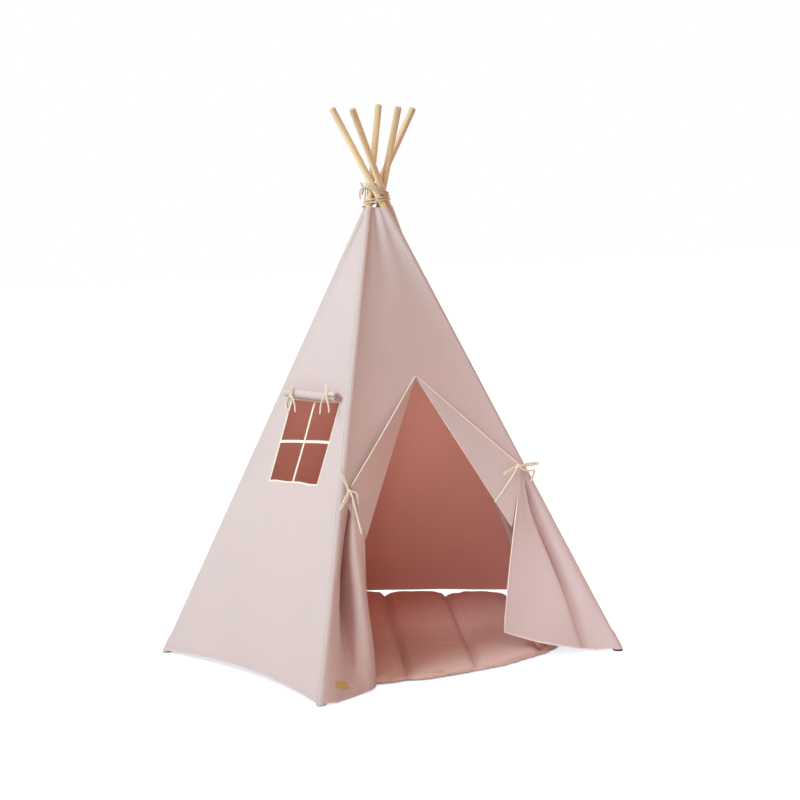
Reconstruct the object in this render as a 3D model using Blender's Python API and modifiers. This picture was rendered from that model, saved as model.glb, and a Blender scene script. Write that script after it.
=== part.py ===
"""Kids teepee: five crossed poles, canvas walls with a tied-back door, a window and a floor mat."""
import math
import bpy
import bmesh
import numpy as np
from mathutils import Vector

# driving sizes in metres and degrees
FOOT_RADIUS = 0.700
CROSS_HEIGHT = 1.375
FRONT_ANGLE = 86.0
POLE_DIAMETER = 0.020
POLE_CLEARANCE = 0.0006
CANVAS_DROP = 0.048
HEM_AT_POLE = 0.006
HEM_AT_MIDDLE = 0.026
CLOTH = 0.0015
GAP = 0.0004
SAG = 0.008
FOOT_LENGTH = 0.030
FOOT_WALL = 0.0023
DOOR_APEX = 0.8801
DOOR_TIE = 0.572
WINDOW_WIDTH = 0.231
WINDOW_HEIGHT = 0.243
WINDOW_CENTRE = 0.7025
TAPE_WIDTH = 0.018
TAPE_THICKNESS = 0.001
BAR_WIDTH = 0.012
ROLL_RADIUS = 0.0135
PIPING_RADIUS = 0.002
TIE_RADIUS = 0.0024
LASH_RADIUS = 0.002
LASH_TURNS = 3
LASH_PITCH = 0.006
LASH_SLOPE = 0.42
MAT_THICKNESS = 0.025
MAT_CROWN = 0.009
STRAP_TURN = 72
CHANNEL_PITCH = 0.200
CHANNEL_ANGLE = 22.6
PATCH_WIDTH = 0.060

# shares of the crossing height that each pole reaches past the crossing, front left first
REACH_SHARES = (0.2109, 0.2007, 0.1905, 0.1905, 0.1949)
POLE_NAMES = ("front_left", "front_right", "right", "back", "left")
WALL_NAMES = ("front", "right", "back_right", "back_left", "left")

# mat outline: angle from the front in degrees, radius as a share of the foot radius
MAT_OUTLINE_SHARES = ((0, 0.684), (13, 0.693), (23, 0.704), (32, 0.729), (43, 0.747), (60, 0.712),
                      (77, 0.701), (95, 0.735), (105, 0.795), (111.5, 0.823), (121.5, 0.778),
                      (133, 0.719), (145.7, 0.706), (157, 0.721), (170, 0.790), (180, 0.817))

# door flaps on the front wall: along, up and out of it as shares of the foot radius,
# one row per level from the tie down, pole side first
RIGHT_FLAP_SHARES = (
    ((0.4014, 0.7829, 0.0186), (0.3986, 0.7829, 0.0143), (0.3929, 0.7829, 0.0186), (0.3864, 0.7829, 0.0186), (0.3800, 0.7829, 0.0186)),
    ((0.4543, 0.6000, 0.0100), (0.4286, 0.6000, -0.0143), (0.4121, 0.6000, 0.0086), (0.3686, 0.6000, 0.0129), (0.3179, 0.6000, 0.0129)),
    ((0.5114, 0.4143, 0.0086), (0.4829, 0.4143, -0.0286), (0.4664, 0.4143, 0.0000), (0.3857, 0.4143, -0.0143), (0.2794, 0.4143, -0.0443)),
    ((0.5686, 0.2429, 0.0057), (0.5300, 0.2429, -0.0314), (0.5029, 0.2429, -0.0086), (0.3714, 0.2429, -0.0500), (0.2500, 0.2429, -0.1000)),
    ((0.6040, 0.0214, -0.0289), (0.5270, 0.0374, -0.0431), (0.4929, 0.0447, -0.0381), (0.3661, 0.0923, -0.0638), (0.2383, 0.1626, -0.1257)))
LEFT_FLAP_SHARES = (
    ((0.4014, 0.7829, 0.0186), (0.3986, 0.7829, 0.0143), (0.3929, 0.7829, 0.0186), (0.3864, 0.7829, 0.0186), (0.3800, 0.7829, 0.0186)),
    ((0.4543, 0.6143, -0.0114), (0.4386, 0.6143, -0.0286), (0.4286, 0.6143, 0.0029), (0.4014, 0.6143, 0.0157), (0.3754, 0.6143, 0.0129)),
    ((0.4929, 0.5000, -0.0086), (0.4600, 0.5000, -0.0400), (0.4443, 0.5000, -0.0086), (0.4114, 0.5000, 0.0086), (0.3800, 0.5000, -0.0086)),
    ((0.5257, 0.3857, 0.0029), (0.4714, 0.3857, -0.0400), (0.4500, 0.3857, -0.0143), (0.4214, 0.3857, 0.0000), (0.3916, 0.3857, -0.0171)),
    ((0.5714, 0.1857, 0.0057), (0.5114, 0.1857, -0.0257), (0.4729, 0.1857, -0.0200), (0.4357, 0.1857, -0.0143), (0.3986, 0.1857, -0.0314)),
    ((0.6300, 0.0000, 0.0245), (0.5500, 0.0095, -0.0009), (0.4971, 0.0174, -0.0223), (0.4486, 0.0259, -0.0451), (0.4057, 0.0374, -0.0759)))
TIE_SHARE = 0.3921
RIGHT_FOLD_SHARES = (0.3014, 0.5786)
LEFT_FOLD_SHARES = (0.3686, 0.6057)

# bows: knot, loops and tails, along, up and out of the wall as shares of the foot radius
DOOR_RIGHT_BOW_SHARES = (
    (0.3665, 0.8213, 0.0386),
    (((0.3385, 0.8264, 0.0386), (0.3022, 0.8065, 0.0386), (0.3000, 0.7873, 0.0386), (0.3324, 0.8011, 0.0386)),
     ((0.4157, 0.8422, 0.0386), (0.4603, 0.8332, 0.0386), (0.4608, 0.8135, 0.0386), (0.4137, 0.8141, 0.0386))),
    (((0.3482, 0.8059, 0.0500), (0.3224, 0.7766, 0.0480), (0.2725, 0.7266, 0.0420), (0.2274, 0.6851, 0.0370)),
     ((0.3843, 0.8042, 0.0500), (0.4143, 0.7967, 0.0480), (0.4388, 0.7962, 0.0420), (0.4282, 0.7734, 0.0370), (0.4143, 0.7536, 0.0370))))
DOOR_LEFT_BOW_SHARES = (
    (-0.4111, 0.7989, 0.0386),
    (((-0.4238, 0.8331, 0.0386), (-0.4383, 0.8839, 0.0386), (-0.4242, 0.8886, 0.0386), (-0.4106, 0.8439, 0.0386)),
     ((-0.4198, 0.7671, 0.0386), (-0.4528, 0.7343, 0.0386), (-0.4647, 0.7398, 0.0386), (-0.4395, 0.7776, 0.0386))),
    (((-0.4071, 0.7759, 0.0500), (-0.4031, 0.7288, 0.0470), (-0.3969, 0.6713, 0.0410), (-0.3925, 0.6264, 0.0370)),
     ((-0.3887, 0.7902, 0.0500), (-0.3839, 0.7712, 0.0470), (-0.3839, 0.7469, 0.0410))))
WINDOW_LEFT_BOW_SHARES = (
    (-0.1179, 1.1780, 0.0536),
    (((-0.1539, 1.2003, 0.0536), (-0.1381, 1.2213, 0.0536), (-0.1037, 1.2098, 0.0536)),
     ((-0.1371, 1.1568, 0.0536), (-0.1208, 1.1268, 0.0536), (-0.1078, 1.1409, 0.0536))),
    (((-0.1280, 1.1560, 0.0650), (-0.1180, 1.1300, 0.0620), (-0.0980, 1.1060, 0.0560)),
     ((-0.0836, 1.1668, 0.0650), (-0.0602, 1.1396, 0.0620), (-0.0518, 1.1138, 0.0560))))
WINDOW_RIGHT_BOW_SHARES = (
    (0.1350, 1.2039, 0.0536),
    (((0.1030, 1.2215, 0.0536), (0.1099, 1.2414, 0.0536), (0.1394, 1.2322, 0.0536)),
     ((0.1583, 1.2203, 0.0536), (0.1847, 1.2068, 0.0536), (0.1705, 1.1931, 0.0536))),
    (((0.1324, 1.1822, 0.0650), (0.1262, 1.1516, 0.0620), (0.1286, 1.1174, 0.0560)),
     ((0.1590, 1.1838, 0.0650), (0.1777, 1.1571, 0.0620), (0.1884, 1.1287, 0.0560))))
# lashing bow, seen from the front left: along, above the crossing and towards the viewer
LASH_BOW_SHARES = (
    (-0.0550, 0.009),
    (((-0.0690, 0.023), (-0.0640, 0.031), (-0.0600, 0.021)),
     ((-0.0680, -0.010), (-0.0620, -0.019), (-0.0580, -0.006))),
    (((-0.0680, 0.002, 0.012), (-0.0740, -0.012, 0.010), (-0.0730, -0.036, 0.006)),
     ((-0.0500, -0.002, 0.014), (-0.0520, -0.030, 0.012), (-0.0560, -0.058, 0.006))))
LASH_VIEW_ANGLE = 26.5
CORNER_PATCH_SHARES = (0.21, 0.33, 0.885, 0.95)
MAT_PATCH_SHARES = (-0.1344, 0.017)

# colours as sRGB shares
CANVAS = (0.83, 0.75, 0.75)
CANVAS_TRIM = (0.93, 0.85, 0.76)
CORD = (0.87, 0.80, 0.66)
PINE = (0.83, 0.70, 0.52)
RUBBER = (0.06, 0.06, 0.06)
LEATHER = (0.75, 0.56, 0.32)
MAT = (0.80, 0.69, 0.66)

for old in list(bpy.data.objects):
    bpy.data.objects.remove(old, do_unlink=True)
scene = bpy.context.scene
teepee = bpy.data.collections.new("kids_teepee")
cutters = bpy.data.collections.new("cutters")
scene.collection.children.link(teepee)
scene.collection.children.link(cutters)

poleRadius = POLE_DIAMETER / 2
sleeveInner = poleRadius + GAP
sleeveOuter = sleeveInner + CLOTH
footBore = poleRadius + GAP
footOuter = footBore + FOOT_WALL
flareInner = footOuter + GAP
flareOuter = flareInner + CLOTH
flareTop = FOOT_LENGTH + footOuter
lean = math.atan2(FOOT_RADIUS, CROSS_HEIGHT)
frontAngle = math.radians(FRONT_ANGLE)
otherAngle = (2 * math.pi - frontAngle) / 4
halfCos = math.cos(otherAngle / 2)
leanPart = math.cos(lean) / math.hypot(math.cos(lean), math.sin(lean) * halfCos)
FLAP_LAP = math.radians(38)
twistRadius = (POLE_DIAMETER + POLE_CLEARANCE) / (2 * math.sin(otherAngle / 2) * leanPart)
canvasTop = CROSS_HEIGHT - CANVAS_DROP


def unit(v):
    v = np.asarray(v, dtype=float)
    return v / np.linalg.norm(v)


class Pole:
    def __init__(self, angle, reach):
        psi = angle + math.asin(twistRadius / FOOT_RADIUS)
        self.out = np.array((math.cos(psi), math.sin(psi), 0.0))
        self.side = np.array((math.sin(psi), -math.cos(psi), 0.0))
        spread = math.sqrt(FOOT_RADIUS ** 2 - twistRadius ** 2)
        self.foot = self.side * twistRadius + self.out * spread
        self.cross = self.side * twistRadius + np.array((0.0, 0.0, CROSS_HEIGHT))
        self.axis = unit(self.cross - self.foot)
        self.length = float(np.linalg.norm(self.cross - self.foot)) + reach
        self.across = np.cross(self.axis, self.side)

    def at(self, z):
        return self.foot + (self.cross - self.foot) * (z / CROSS_HEIGHT)

    def ring(self, z, radius, count=16, level=True):
        """Points of a round section, cut level with the floor or square to the pole."""
        centre = self.at(z)
        points = []
        for step in range(count):
            turn = 2 * math.pi * step / count
            point = self.side * math.cos(turn) * radius + self.across * math.sin(turn) * radius
            if level:
                point = point - self.axis * (point[2] / self.axis[2])
            points.append(centre + point)
        return points


frontStart = math.radians(270) - frontAngle / 2
angles = [frontStart, frontStart + frontAngle]
for step in range(3):
    angles.append(angles[-1] + otherAngle)
poles = [Pole(angle, share * CROSS_HEIGHT) for angle, share in zip(angles, REACH_SHARES)]

materials = {}


def material(name, colour, roughness=0.85):
    made = bpy.data.materials.new(name)
    made.use_nodes = True
    shader = made.node_tree.nodes["Principled BSDF"]
    linear = [c / 12.92 if c <= 0.04045 else ((c + 0.055) / 1.055) ** 2.4 for c in colour]
    shader.inputs["Base Color"].default_value = (*linear, 1.0)
    shader.inputs["Roughness"].default_value = roughness
    made.diffuse_color = (*linear, 1.0)
    return made


def place(name, data, origin, colour, roughness=0.85, group=None):
    piece = bpy.data.objects.new(name, data)
    piece.location = Vector(origin)
    (group or teepee).objects.link(piece)
    data.materials.append(material(name + "_look", colour, roughness))
    return piece


def mesh_of(name, grid_points, faces, origin):
    shape = bmesh.new()
    corners = [shape.verts.new(Vector(p) - Vector(origin)) for p in grid_points]
    for face in faces:
        shape.faces.new([corners[i] for i in face])
    loose = [v for v in shape.verts if not v.link_faces]
    bmesh.ops.delete(shape, geom=loose, context="VERTS")
    data = bpy.data.meshes.new(name)
    shape.to_mesh(data)
    shape.free()
    return data


def sheet(name, rows, origin, colour, skip=(), cloth=CLOTH):
    """Cloth lofted through rows of points and thickened about its middle."""
    width = len(rows[0])
    points = [p for row in rows for p in row]
    faces = []
    for r in range(len(rows) - 1):
        for c in range(width - 1):
            if (r, c) not in skip:
                at = r * width + c
                faces.append((at, at + 1, at + width + 1, at + width))
    piece = place(name, mesh_of(name, points, faces, origin), origin, colour)
    solid = piece.modifiers.new("cloth", "SOLIDIFY")
    solid.thickness = cloth
    solid.offset = 0
    solid.use_even_offset = True
    solid.use_rim = True
    return piece


def loft(name, rings, origin, colour, roughness=0.85, closed=False, group=None):
    """Body lofted through rings, capped at both ends or joined back on itself."""
    count = len(rings[0])
    points = [p for ring in rings for p in ring]
    faces = []
    last = len(rings) if closed else len(rings) - 1
    for r in range(last):
        a = r * count
        b = ((r + 1) % len(rings)) * count
        for c in range(count):
            d = (c + 1) % count
            faces.append((a + c, a + d, b + d, b + c))
    if not closed:
        faces.append(tuple(range(count)))
        faces.append(tuple(range((len(rings) - 1) * count, len(rings) * count)))
    data = mesh_of(name, points, faces, origin)
    shape = bmesh.new()
    shape.from_mesh(data)
    bmesh.ops.recalc_face_normals(shape, faces=shape.faces)
    shape.to_mesh(data)
    shape.free()
    return place(name, data, origin, colour, roughness, group)


def cord(name, points, radius, origin, colour, cyclic=False, group=None):
    """Round cord as one poly tube with filled ends."""
    data = bpy.data.curves.new(name, "CURVE")
    data.dimensions = "3D"
    data.bevel_depth = radius
    data.bevel_resolution = 1
    data.use_fill_caps = True
    spline = data.splines.new("POLY")
    spline.points.add(len(points) - 1)
    for target, point in zip(spline.points, points):
        target.co = (*(Vector(point) - Vector(origin)), 1.0)
    spline.use_cyclic_u = cyclic
    return place(name, data, origin, colour, group=group)


def smooth(points, times, cyclic=False):
    """Points on a curve through the given ones."""
    points = [np.asarray(p, dtype=float) for p in points]
    count = len(points)
    result = []
    for i in range(count if cyclic else count - 1):
        if cyclic:
            p0, p1, p2, p3 = (points[(i + k) % count] for k in (-1, 0, 1, 2))
        else:
            p1, p2 = points[i], points[i + 1]
            p0 = points[i - 1] if i else p1 * 2 - p2
            p3 = points[i + 2] if i + 2 < count else p2 * 2 - p1
        for step in range(times):
            t = step / times
            pull = (p2 - p0) * t + (p0 * 2 - p1 * 5 + p2 * 4 - p3) * t ** 2
            result.append((p1 * 2 + pull + (p1 * 3 - p0 - p2 * 3 + p3) * t ** 3) / 2)
    if not cyclic:
        result.append(points[-1])
    return result


def refine(rows, down, across):
    wide = [smooth(row, across) for row in rows]
    columns = [smooth([row[c] for row in wide], down) for c in range(len(wide[0]))]
    return [[column[r] for column in columns] for r in range(len(columns[0]))]


def chord(wall, z):
    """The two pole centres that a wall hangs between at one height."""
    return poles[wall].at(z), poles[(wall + 1) % 5].at(z)


wallFrames = []
for wall in range(5):
    low = chord(wall, 0)
    high = chord(wall, CROSS_HEIGHT)
    along = unit(low[1] - low[0])
    middle = (low[0] + low[1]) / 2
    rise = (high[0] + high[1]) / 2 - middle
    up = unit(rise - along * float(rise @ along))
    out = np.cross(along, up)
    wallFrames.append((middle, along, up, out))


def on_wall(wall, along_m, up_m, out_m):
    """Point in a wall's own directions, measured from the line between its two poles."""
    middle, along, up, out = wallFrames[wall]
    z = up_m * up[2]
    start, end = chord(wall, z)
    guess = middle + along * along_m + up * up_m
    run = end - start
    share = float((guess - start) @ along) / float(run @ along)
    return start + run * share + out * out_m


def edge_offset(pole, run, z, extra=0.0):
    """Distance along the chord from a pole's centre to the edge of its sleeve."""
    radius = (flareOuter if z < flareTop + sleeveOuter else sleeveOuter) + GAP + extra
    angle = abs(float(unit(run) @ pole.axis))
    return radius / math.sqrt(1 - angle ** 2)


def wall_point(wall, z, share, drop=SAG):
    """Share runs from -1 at the first pole to 1 at the second, 0 on the centre line."""
    start, end = chord(wall, z)
    run = end - start
    low = chord(wall, 0)
    narrowing = float(np.linalg.norm(run) / np.linalg.norm(low[1] - low[0]))
    inward = -wallFrames[wall][3] * drop * narrowing ** 2 * (1 - share ** 2)
    return (start + end) / 2 + run * share / 2 + inward


def hem_height(share):
    return HEM_AT_POLE + (HEM_AT_MIDDLE - HEM_AT_POLE) * (1 - share ** 2)


def half_rows(wall, side, heights, columns, drop=SAG):
    """Rows of one wall half, pole edge first; side is -1 for the first pole."""
    pole = poles[wall] if side < 0 else poles[(wall + 1) % 5]
    rows = []
    for level in heights:
        row = []
        for c in range(columns + 1):
            z = hem_height(0 if c == columns else side * (1 - c / columns))
            z = z + (canvasTop - z) * level
            start, end = chord(wall, z)
            size = float(np.linalg.norm(end - start))
            edge = 1 - 2 * edge_offset(pole, end - start, z) / size
            inner = GAP / size
            share = side * (edge + (inner - edge) * c / columns)
            row.append(wall_point(wall, z, share, drop))
        rows.append(row if side < 0 else row[::-1])
    return rows


# floor mat
channel = math.radians(90 - CHANNEL_ANGLE)
alongDir = np.array((math.cos(channel), math.sin(channel), 0.0))
acrossDir = np.array((math.sin(channel), -math.cos(channel), 0.0))


def mat_radius(angle):
    """Outline radius by the angle from the front."""
    angle = abs((angle + 180) % 360 - 180)
    table = MAT_OUTLINE_SHARES
    knots = [(-table[1][0], table[1][1])] + list(table) + [(360 - table[-2][0], table[-2][1])]
    for i in range(1, len(knots) - 2):
        if angle <= knots[i + 1][0]:
            break
    (x0, y0), (x1, y1), (x2, y2), (x3, y3) = knots[i - 1:i + 3]
    m1 = (y2 - y0) / (x2 - x0) * (x2 - x1)
    m2 = (y3 - y1) / (x3 - x1) * (x2 - x1)
    t = (angle - x1) / (x2 - x1)
    share = y1 + m1 * t + (3 * (y2 - y1) - 2 * m1 - m2) * t ** 2 + (m1 + m2 - 2 * (y2 - y1)) * t ** 3
    return share * FOOT_RADIUS


outline = []
for step in range(360):
    turn = math.radians(step - 90)
    outline.append(np.array((math.cos(turn), math.sin(turn), 0.0)) * mat_radius(step))
across = [float(p @ acrossDir) for p in outline]
along = [float(p @ alongDir) for p in outline]


def mat_span(offset):
    hits = []
    for i in range(360):
        j = (i + 1) % 360
        if (across[i] - offset) * (across[j] - offset) <= 0 and across[i] != across[j]:
            t = (offset - across[i]) / (across[j] - across[i])
            hits.append(along[i] + (along[j] - along[i]) * t)
    return min(hits), max(hits)


edgeShare = 0.985
lowAcross = min(across) * edgeShare
highAcross = max(across) * edgeShare
offsets = {lowAcross, highAcross}
for cell in range(-3, 4):
    for part in (-0.5, -0.32, -0.1, -0.05, 0.0, 0.05, 0.1, 0.32):
        spot = (cell + part) * CHANNEL_PITCH
        if lowAcross + POLE_DIAMETER < spot < highAcross - POLE_DIAMETER:
            offsets.add(spot)
sideShares = ((0.0, 0.0), (0.35, 0.22), (0.5, 0.5), (0.35, 0.78), (0.0, 0.94))
matRings = []
for offset in sorted(offsets):
    low, high = mat_span(offset)
    phase = offset / CHANNEL_PITCH
    seam = abs(phase - round(phase)) * 2
    puff = min(1.0, seam / 0.3)
    puff = puff * (2 - puff)
    rim = min(1.0, (highAcross - offset) / CHANNEL_PITCH, (offset - lowAcross) / CHANNEL_PITCH)
    notch = MAT_CROWN * (1 - puff)
    top = MAT_THICKNESS - MAT_CROWN * (1 - puff) * 1.4
    roundness = MAT_THICKNESS / 2
    ring = []
    inner = (high - low) / 2 - notch - roundness
    centre = (high + low) / 2
    for out_share, z_share in sideShares:
        ring.append((centre + inner + roundness * out_share * 2, top * z_share * 0.86))
    for step in range(9):
        t = 1 - 2 * (step + 0.5) / 9
        crown = MAT_CROWN * puff * (1 - t ** 4) * (0.4 + 0.6 * math.sqrt(max(rim, 0)))
        ring.append((centre + inner * t, top * 0.86 + crown))
    for out_share, z_share in sideShares[::-1]:
        ring.append((centre - inner - roundness * out_share * 2, top * z_share * 0.86))
    matRings.append([acrossDir * offset + alongDir * q + np.array((0.0, 0.0, z)) for q, z in ring])
mat = loft("floor_mat", matRings, (0, 0, 0), MAT)

patchHeight = MAT_THICKNESS * 0.5
patchX = MAT_PATCH_SHARES[0] * FOOT_RADIUS
patchRows = []
for z in (MAT_THICKNESS * 0.2, MAT_THICKNESS * 0.2 + patchHeight):
    row = []
    for step in range(5):
        x = patchX + PATCH_WIDTH * (step / 4 - 0.5)
        angle = math.degrees(math.atan2(x, mat_radius(0)))
        reach = mat_radius(angle) + TAPE_THICKNESS / 2 + GAP
        row.append((x, -math.sqrt(reach ** 2 - x ** 2), z))
    patchRows.append(row)
sheet("mat_patch", patchRows, (0, 0, 0), LEATHER, cloth=TAPE_THICKNESS)

# poles, rubber feet and sleeves
for index, pole in enumerate(poles):
    name = POLE_NAMES[index]
    pivot = pole.cross
    bore_z = (footBore * pole.across[2] + FOOT_WALL) * 1.0
    start = abs(bore_z) / pole.axis[2] + FOOT_WALL
    length = pole.length - start
    data = bpy.data.meshes.new("pole_" + name)
    shape = bmesh.new()
    bmesh.ops.create_cone(shape, cap_ends=True, cap_tris=False, segments=16,
                          radius1=poleRadius, radius2=poleRadius, depth=length)
    turn = Vector((0, 0, 1)).rotation_difference(Vector(pole.axis)).to_matrix()
    bmesh.ops.rotate(shape, verts=shape.verts, cent=(0, 0, 0), matrix=turn)
    middle = pole.foot + pole.axis * (start + length / 2) - pivot
    bmesh.ops.translate(shape, verts=shape.verts, vec=Vector(middle))
    shape.to_mesh(data)
    shape.free()
    piece = place("pole_" + name, data, pivot, PINE, 0.6)
    ends = piece.modifiers.new("rounded_ends", "BEVEL")
    ends.width = poleRadius * 0.4
    ends.segments = 3
    ends.limit_method = "ANGLE"
    ends.angle_limit = math.radians(60)
    topZ = FOOT_LENGTH * pole.axis[2]
    boreZ = (start - GAP) * pole.axis[2]
    rings = [pole.ring(0, footOuter, 16), pole.ring(topZ, footOuter, 16, False),
             pole.ring(topZ, footBore, 16, False), pole.ring(boreZ, footBore, 16, False)]
    loft("foot_" + name, rings, pivot, RUBBER)
    rings = [pole.ring(HEM_AT_POLE, flareOuter, 16), pole.ring(flareTop, flareOuter, 16),
             pole.ring(flareTop + sleeveOuter, sleeveOuter, 16), pole.ring(canvasTop, sleeveOuter, 16),
             pole.ring(canvasTop, sleeveInner, 16), pole.ring(flareTop + sleeveOuter, sleeveInner, 16),
             pole.ring(flareTop, flareInner, 16), pole.ring(HEM_AT_POLE, flareInner, 16)]
    loft("sleeve_" + name, rings, pivot, CANVAS, closed=True)

# walls, each as two halves
levels = [0.0, 0.035, 0.04] + [0.04 + 0.96 * step / 11 for step in range(1, 12)]
for wall in range(1, 4):
    for side in (-1, 1):
        pole = poles[wall] if side < 0 else poles[(wall + 1) % 5]
        rows = half_rows(wall, side, levels, 4)
        label = "wall_%s_half_%d" % (WALL_NAMES[wall], 1 if side < 0 else 2)
        sheet(label, rows, pole.cross, CANVAS)

# left wall with its window
up = wallFrames[4][2]
windowLow = (WINDOW_CENTRE - WINDOW_HEIGHT / 2) * up[2]
windowHigh = (WINDOW_CENTRE + WINDOW_HEIGHT / 2) * up[2]


highChord = chord(4, windowHigh + TAPE_WIDTH)
windowChord = float(np.linalg.norm(highChord[1] - highChord[0]))
windowEdge = 1 - 2 * edge_offset(poles[4], highChord[1] - highChord[0], windowHigh) / windowChord


def window_rows(side, heights, cuts, lift):
    rows = []
    pole = poles[4] if side < 0 else poles[0]
    for z_row in heights:
        row = []
        for k, cut in enumerate(cuts):
            z = z_row
            if z_row == 0:
                z = hem_height(0 if k == len(cuts) - 1 else 1 - k / (len(cuts) - 1))
            start, end = chord(4, z)
            size = float(np.linalg.norm(end - start))
            edge = 1 - 2 * edge_offset(pole, end - start, z) / size
            narrow = edge / windowEdge if size < windowChord else 1.0
            wide = max(size, windowChord)
            half = WINDOW_WIDTH / wide * narrow
            if cut is None:
                share = edge
            elif cut == seam:
                share = 2 * seam / size
            elif cut < 0:
                share = half + (edge - half) * -cut
            else:
                share = 2 * cut / wide * narrow
            row.append(wall_point(4, z, side * share) + wallFrames[4][3] * lift)
        rows.append(row if side < 0 else row[::-1])
    return rows


halfWindow = WINDOW_WIDTH / 2
seam = GAP / 2
cuts = [None, -0.66, -0.33, halfWindow, halfWindow / 2, seam]
flareJoin = flareTop + sleeveOuter
heights = [0, flareJoin - GAP, flareJoin + GAP]
heights += [flareJoin + (windowLow - flareJoin) * step / 5 for step in range(1, 5)]
heights += [windowLow, (windowLow + windowHigh) / 2, windowHigh]
heights += [windowHigh + (canvasTop - windowHigh) * step / 5 for step in range(1, 6)]
lowRow = heights.index(windowLow)
rollLift = CLOTH / 2 + TAPE_THICKNESS + 2 * GAP + ROLL_RADIUS
rollZ = windowHigh + TAPE_WIDTH / 2
rollEnds = [window_rows(-1, [rollZ], [halfWindow + TAPE_WIDTH, seam], rollLift)[0][0],
            window_rows(1, [rollZ], [halfWindow + TAPE_WIDTH, seam], rollLift)[0][-1]]
rollAxis = unit(rollEnds[1] - rollEnds[0])
for side in (-1, 1):
    pole = poles[4] if side < 0 else poles[0]
    number = 1 if side < 0 else 2
    holes = [(lowRow + r, c if side < 0 else 4 - c) for r in (0, 1) for c in (3, 4)]
    sheet("wall_left_half_%d" % number, window_rows(side, heights, cuts, 0), pole.cross, CANVAS, holes)
    tapeCuts = [halfWindow + TAPE_WIDTH, halfWindow - TAPE_WIDTH / 6, BAR_WIDTH / 2, seam]
    tapeIn = TAPE_WIDTH / 6
    mid = (windowLow + windowHigh) / 2
    bar = BAR_WIDTH / 2
    tapeHeights = [windowLow - TAPE_WIDTH, windowLow + tapeIn, mid - bar, mid + bar,
                   windowHigh - tapeIn, windowHigh + TAPE_WIDTH]
    holes = [(r, 1) for r in (1, 3)]
    lift = CLOTH / 2 + GAP + TAPE_THICKNESS / 2
    rows = window_rows(side, tapeHeights, tapeCuts, lift)
    sheet("window_tape_half_%d" % number, rows, pole.cross, CANVAS_TRIM, holes, TAPE_THICKNESS)
    outer = rollEnds[0] if side < 0 else rollEnds[1]
    inner = (rollEnds[0] + rollEnds[1]) / 2 + rollAxis * (side * GAP)
    rim = [np.cross(rollAxis, wallFrames[4][3])]
    rim.append(np.cross(rollAxis, rim[0]))
    rings = []
    for centre in (inner, outer):
        ring = []
        for step in range(16):
            turn = 2 * math.pi * step / 16
            ring.append(centre + (rim[0] * math.cos(turn) + rim[1] * math.sin(turn)) * ROLL_RADIUS)
        rings.append(ring)
    loft("window_roll_half_%d" % number, rings, pole.cross, CANVAS)

# front wall above and beside the door
frontUp = wallFrames[0][2]
apexZ = DOOR_APEX * frontUp[2]


def split_x(z):
    """The door's slit is central; above it the seam drifts to the middle of the gathered top."""
    start, end = chord(0, canvasTop)
    share = max(0.0, (z - apexZ) / (canvasTop - apexZ))
    return float((start + end)[0]) / 2 * share


def front_point(x, z, out_m):
    start, end = chord(0, z)
    share = (x - start[0]) / (end[0] - start[0])
    point = start + (end - start) * share
    return point + wallFrames[0][3] * out_m


def beside(rows, distance):
    """Line beside the last column of a sheet's rows, square to that edge."""
    result = []
    for r, row in enumerate(rows):
        before = rows[max(r - 1, 0)][-1]
        after = rows[min(r + 1, len(rows) - 1)][-1]
        tangent = unit(after - before)
        away = row[-1] - row[-2]
        result.append(row[-1] + unit(away - tangent * float(away @ tangent)) * distance)
    return result


folds = {1: np.array(RIGHT_FOLD_SHARES) * FOOT_RADIUS, -1: np.array(LEFT_FOLD_SHARES) * FOOT_RADIUS}
tieZ = DOOR_TIE * frontUp[2]
for side in (-1, 1):
    number = 1 if side < 0 else 2
    pole = poles[0] if side < 0 else poles[1]
    foldX, foldUp = folds[side]
    foldZ = foldUp * frontUp[2]
    rows = []
    for step in range(15):
        if step < 8:
            t = step / 8
            innerZ = foldZ + (apexZ - foldZ) * t
            innerX = side * (foldX * (1 - t) + seam)
            outerZ = tieZ - POLE_DIAMETER + (apexZ - tieZ + POLE_DIAMETER) * t
        else:
            t = (step - 8) / 6
            innerZ = apexZ + (canvasTop - apexZ) * t
            innerX = split_x(innerZ) + side * seam
            outerZ = innerZ
        start, end = chord(0, outerZ)
        offset = edge_offset(pole, end - start, outerZ, GAP) / float(np.linalg.norm(end - start))
        outerX = start[0] + (end[0] - start[0]) * (offset if side < 0 else 1 - offset)
        row = []
        for c in range(5):
            mix = c / 4
            row.append(front_point(outerX + (innerX - outerX) * mix, outerZ + (innerZ - outerZ) * mix, 0))
        rows.append(row if side < 0 else row[::-1])
    sheet("wall_front_half_%d" % number, rows, pole.cross, CANVAS)

    # the part of the door that is folded outwards above the tie
    tieX = side * TIE_SHARE * FOOT_RADIUS
    rows = []
    for step in range(9):
        t = 0.02 + 0.93 * step / 8
        foldPoint = (side * foldX * t, apexZ + (foldZ - apexZ) * t)
        freePoint = (tieX * t, apexZ + (tieZ - apexZ) * t)
        row = []
        for c in range(3):
            mix = c / 2
            x = foldPoint[0] + (freePoint[0] - foldPoint[0]) * mix
            z = foldPoint[1] + (freePoint[1] - foldPoint[1]) * mix
            # the facing lies on the wall and rises over the sleeve near the tie
            lift = CLOTH + 2 * GAP + (PIPING_RADIUS + sleeveOuter * t ** 6) * mix
            row.append(front_point(x, z, lift))
        rows.append(row)
    label = "left" if side < 0 else "right"
    edge = beside(rows, PIPING_RADIUS + GAP)
    facing = rows if side > 0 else [row[::-1] for row in rows]
    sheet("door_facing_" + label, facing, pole.cross, CANVAS)
    cord("door_piping_" + label, edge, PIPING_RADIUS, pole.cross, CANVAS_TRIM)

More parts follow.
